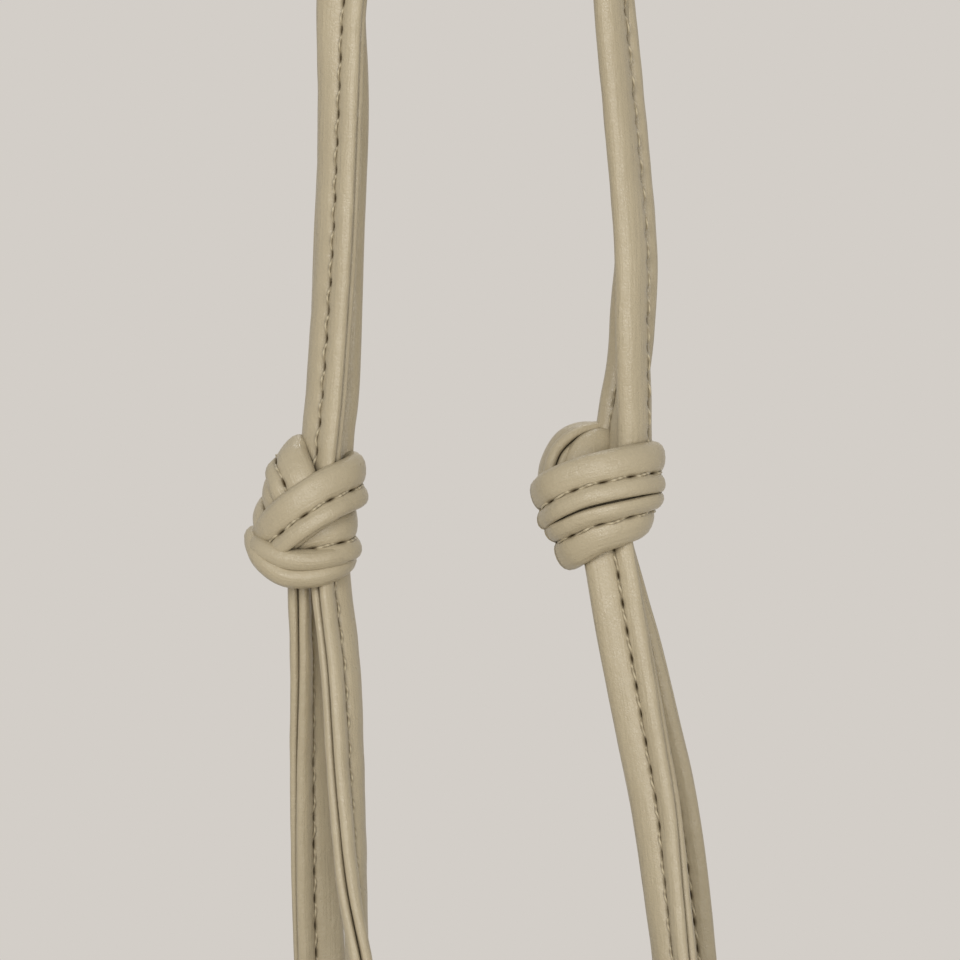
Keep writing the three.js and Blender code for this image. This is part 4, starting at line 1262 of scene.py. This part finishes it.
def base_outline(inset, z):
    """The base's outline, a closed line, drawn in by an inset."""
    width, depth, bow, side_bow = BASE_SECTION
    x = np.linspace(-1, 1, BASE_FRONT_STEPS + 1)[:-1] * width
    front = np.column_stack([x, -depth - bow * (1 - (x / width) ** 2)])
    y = np.linspace(-1, 1, BASE_SIDE_STEPS + 1)[:-1] * depth
    side = np.column_stack([width + side_bow * (1 - (y / depth) ** 2), y])
    line = np.vstack([front, side, -front, -side])
    along = np.roll(line, -1, axis=0) - np.roll(line, 1, axis=0)
    for _ in range(SOFTENING):
        along = (np.roll(along, 1, axis=0) + 2 * along + np.roll(along, -1, axis=0)) / 4
    line = line + unit(np.column_stack([-along[:, 1], along[:, 0]])) * inset
    return np.column_stack([line, np.full(len(line), z)]) * MM


print("base outline of", len(base_outline(0.0, BASE_Z)), "points")

# %% Rolled seams
ROLL_RADIUS = 1.5 * MM
ROLL_SIDES = 12
ROLL_POINTS = 90
ROLL_FOOT, ROLL_TOP = WALL_FOOT_H + 0.5, -1.0
ROLL_IN_X, ROLL_IN_Y = 0.5, 0.7  # the roll lies this far inside the corner
BASE_ROLL_INSET, BASE_ROLL_Z = 0.9, BASE_Z + 1.6

roll_h = np.linspace(ROLL_FOOT, ROLL_TOP, ROLL_POINTS)
roll_y = -section_at(roll_h)[:, 1] + ROLL_IN_Y
roll_line = np.column_stack([corner_x(roll_h) - ROLL_IN_X, roll_y, FOLD_Z + roll_h]) * MM
parts = MeshParts()
for x_sign, y_sign in ((1, 1), (-1, 1), (1, -1), (-1, -1)):
    parts.add(*tube(roll_line * (x_sign, y_sign, 1), ROLL_RADIUS, ROLL_SIDES))
loop = base_outline(BASE_ROLL_INSET, BASE_ROLL_Z)
outward = unit((loop - loop.mean(axis=0)) * (1, 1, 0))
upward = np.broadcast_to([0.0, 0.0, 1.0], loop.shape)
parts.add(round_rings(loop, outward, upward, ROLL_RADIUS, ROLL_SIDES),
          ring_faces(len(loop), ROLL_SIDES, closed=True))
dress(parts, "rolled_seams", pouch_look, "pouch", "pouch_leather")

# %% [markdown]
# ## Base
# The base is one flat piece of the same leather over a board. A plain disc would have a sharp edge, so
# rings run from its middle out to a rounded rim and back.

# %% Base
BASE_THICKNESS, BASE_INSET = 1.7, 1.6
BASE_STITCH_INSET = 5.0
MIDDLE_SHARE = 0.02  # size of the smallest ring
DISC_RINGS = 16
DISC_RIM_ANGLES = np.radians([-45, 0, 45])


def add_disc(parts, top_z, thickness, inset):
    """Adds a flat disc in the base's outline, with a rounded rim."""
    shares = np.linspace(MIDDLE_SHARE, 1, DISC_RINGS)
    rings = [base_outline(inset, top_z - thickness) * (share, share, 1) for share in shares]
    for angle in DISC_RIM_ANGLES:
        edge_z = top_z + thickness / 2 * (math.sin(angle) - 1)
        rings.append(base_outline(inset - thickness / 2 * math.cos(angle), edge_z))
    rings += [base_outline(inset, top_z) * (share, share, 1) for share in shares[::-1]]
    faces = ring_faces(len(rings), len(rings[0]))
    parts.add(rings, [face[::-1] for face in faces])


parts = MeshParts()
add_disc(parts, BASE_Z + BASE_THICKNESS, BASE_THICKNESS, BASE_INSET)
line = base_outline(BASE_STITCH_INSET, BASE_Z)
stitch_sheet(parts, np.vstack([line, line[:1]]), np.array([0, 0, -1.0]))
dress(parts, "base_skin", pouch_look, "pouch", "pouch_leather", "base_panel")

# %% [markdown]
# ## Lining and facings
# The lining is a thin cotton twill bag that hangs just inside the leather. The facings are suede, which
# back the eyelets and keep the flaps from stretching. Both follow the walls' own surfaces, so they are
# the same sheets, set inwards. The lining is soft cloth.

# %% Grids of lining and facings
LINING_GAP, LINING_MARGIN, LINING_THICKNESS = 2.6, 3.5, 0.6 * MM
LINING_FOOT, LINING_TOP = -129.5, -1.5
LINING_ROWS, LINING_COLUMNS = 50, 46
GUSSET_LINING_GAP, GUSSET_LINING_SHARE, TONGUE_MARGIN = 2.8, 0.86, 3.0
GUSSET_LINING_ROWS, GUSSET_LINING_COLUMNS = 60, 24
FACING_GAP, FACING_MARGIN, FACING_THICKNESS = 1.9, 3.0, 1.0 * MM
FACING_SPAN = (3.0, 51.0)  # heights between which its rows are evenly spaced
FACING_ROWS, FACING_COLUMNS = 34, 70
FACING_TOP_STEPS = np.array([7.2, 6.0, 4.6, 3.2, 2.0, 1.0, 0.3, 0.0])

lining_h = np.linspace(LINING_FOOT, LINING_TOP, LINING_ROWS)
lining_half = corner_x(lining_h) - LINING_MARGIN
lining_x = np.linspace(-1, 1, LINING_COLUMNS)[None, :] * lining_half[:, None]
lining_grid = front_skin(lining_x, lining_h[:, None], LINING_GAP, groove=False)
gusset_lining_h = np.linspace(LINING_FOOT, TONGUE_RISE - TONGUE_MARGIN, GUSSET_LINING_ROWS)
gusset_lining_y = np.linspace(-GUSSET_LINING_SHARE, GUSSET_LINING_SHARE, GUSSET_LINING_COLUMNS)[None, :]
gusset_lining_grid = gusset_skin(gusset_lining_y, gusset_lining_h[:, None], GUSSET_LINING_GAP)
facing_h = np.concatenate([
    np.linspace(*FACING_SPAN, FACING_ROWS), FLAP_LENGTH - FACING_MARGIN - FACING_TOP_STEPS])
facing_half = wall_half_width(facing_h + FACING_MARGIN) - FACING_MARGIN
facing_x = np.linspace(-1, 1, FACING_COLUMNS)[None, :] * facing_half[:, None]
facing_grid = front_skin(facing_x, facing_h[:, None], FACING_GAP, groove=False)
print("facing is %.0f mm wide" % (2 * facing_half.max()))

# %% Lining and facings
BASE_LINING_Z, BASE_LINING_INSET = -397.1, 4.4


def lining_piece(parts, node):
    """Dresses a piece of the lining on the pouch's body."""
    piece = dress(parts, node + "_twill", [twill], "pouch", "lining_cloth", node)


for (side, turned), hand in zip(HALVES.items(), HANDS):
    parts = MeshParts()
    add_sheet(parts, turned(lining_grid), LINING_THICKNESS)
    lining_piece(parts, side + "_lining")
    parts = MeshParts()
    add_sheet(parts, turned(gusset_lining_grid), LINING_THICKNESS)
    lining_piece(parts, "gusset_lining_" + hand)
    parts = MeshParts()
    add_sheet(parts, turned(facing_grid), FACING_THICKNESS, eyelet_holes(turned))
    dress(parts, side + "_facing_suede", [suede], side + "_mouth", "facing_leather", side + "_facing")
parts = MeshParts()
add_disc(parts, BASE_LINING_Z, LINING_THICKNESS / MM, BASE_LINING_INSET)
lining_piece(parts, "base_lining")

# %% [markdown]
# ## Eyelets
# An eyelet is a short brass barrel with a domed flange, set with a press so that its end rolls over a
# washer. Both are turned shapes, so each is a profile spun round the eyelet's axis.

# %% Eyelets
SPIN_SIDES = 40
# Radius and depth into the flap in mm, as closed profiles.
EYELET_PROFILE = [
    (5.15, 3.4), (5.15, -0.3), (5.22, -0.75), (5.5, -1.1), (6.0, -1.26), (6.6, -1.24), (7.2, -1.08),
    (7.7, -0.78), (7.98, -0.42), (7.96, -0.16), (7.7, -0.06), (6.6, -0.06), (5.72, -0.06), (5.6, 0.1),
    (5.6, 3.4), (5.62, 3.9), (5.8, 4.2), (5.62, 4.4), (5.3, 4.2),
]
WASHER_PROFILE = [
    (5.66, 3.05), (5.66, 3.8), (5.95, 4.04), (6.7, 4.1), (7.5, 3.96), (7.95, 3.6), (8.0, 3.25),
    (7.85, 3.02),
]


def spin(profile, x):
    """A profile spun round the axis of the front eyelet at x."""
    angle = ring_angles(SPIN_SIDES)
    return [flap_point(x + r * np.cos(angle), depth, EYELET_H + r * np.sin(angle)) for r, depth in profile]


for side, turned in HALVES.items():
    for number, x in enumerate(EYELETS_X, 1):
        for kind, profile in (("eyelet", EYELET_PROFILE), ("washer", WASHER_PROFILE)):
            node = "%s_%s_%d" % (side, kind, number)
            parts = MeshParts()
            parts.add(turned(spin(profile, x)), ring_faces(len(profile), SPIN_SIDES, closed=True))
            dress(parts, node + "_pressed", [brass], side + "_mouth", "eyelet_brass", node)

# %% [markdown]
# ## Lacing
# The strap weaves through the eyelets: out at the first, in at the second, and the same again on the
# other half. It twists a quarter turn inside the first and last bore, where it leaves the drop. It is
# the folded strap once more, with stops across the flap and into it.

# %% Lacing
# Across, depth into the flap and turn of the width out of the horizontal, for one half.
LACING_HALF = [
    (-28.5, 4.2, 0), (-28.5, 2.4, 16), (-28.5, 0.6, 48), (-28.4, -1.2, 78), (-27.4, -3.2, 90),
    (-24.6, -4.2, 90), (-19.0, -4.5, 90), (-13.4, -4.2, 90), (-10.6, -3.2, 90), (-9.6, -1.2, 90),
    (-9.5, 0.8, 90), (-9.4, 2.8, 90), (-8.6, 5.2, 90), (-6.4, 6.8, 90), (-2.6, 7.2, 90),
]
UPRIGHT = 90
FIRST_TWIST = (1, -1)  # on the rear half the first drop arrives with its open edge on the other side

flap_x = flap_point(1, 0, 0) - flap_point(0, 0, 0)
flap_up = flap_point(0, 0, 1) - flap_point(0, 0, 0)
for (side, turned), twist in zip(HALVES.items(), FIRST_TWIST):
    first = [(x, depth, UPRIGHT + (turn - UPRIGHT) * twist) for x, depth, turn in LACING_HALF]
    second = [(-x, depth, turn) for x, depth, turn in LACING_HALF[::-1]]
    rows = smooth_rows([(*flap_point(x, depth, EYELET_H), turn) for x, depth, turn in first + second])
    turn = np.radians(rows[:, 3])[:, None]
    parts = MeshParts()
    lay_strap(parts, turned(rows[:, :3]), turned(np.cos(turn) * flap_x + np.sin(turn) * flap_up))
    dress(parts, side + "_lacing_folded", strap_look, side + "_mouth", "strap_leather", side + "_lacing")
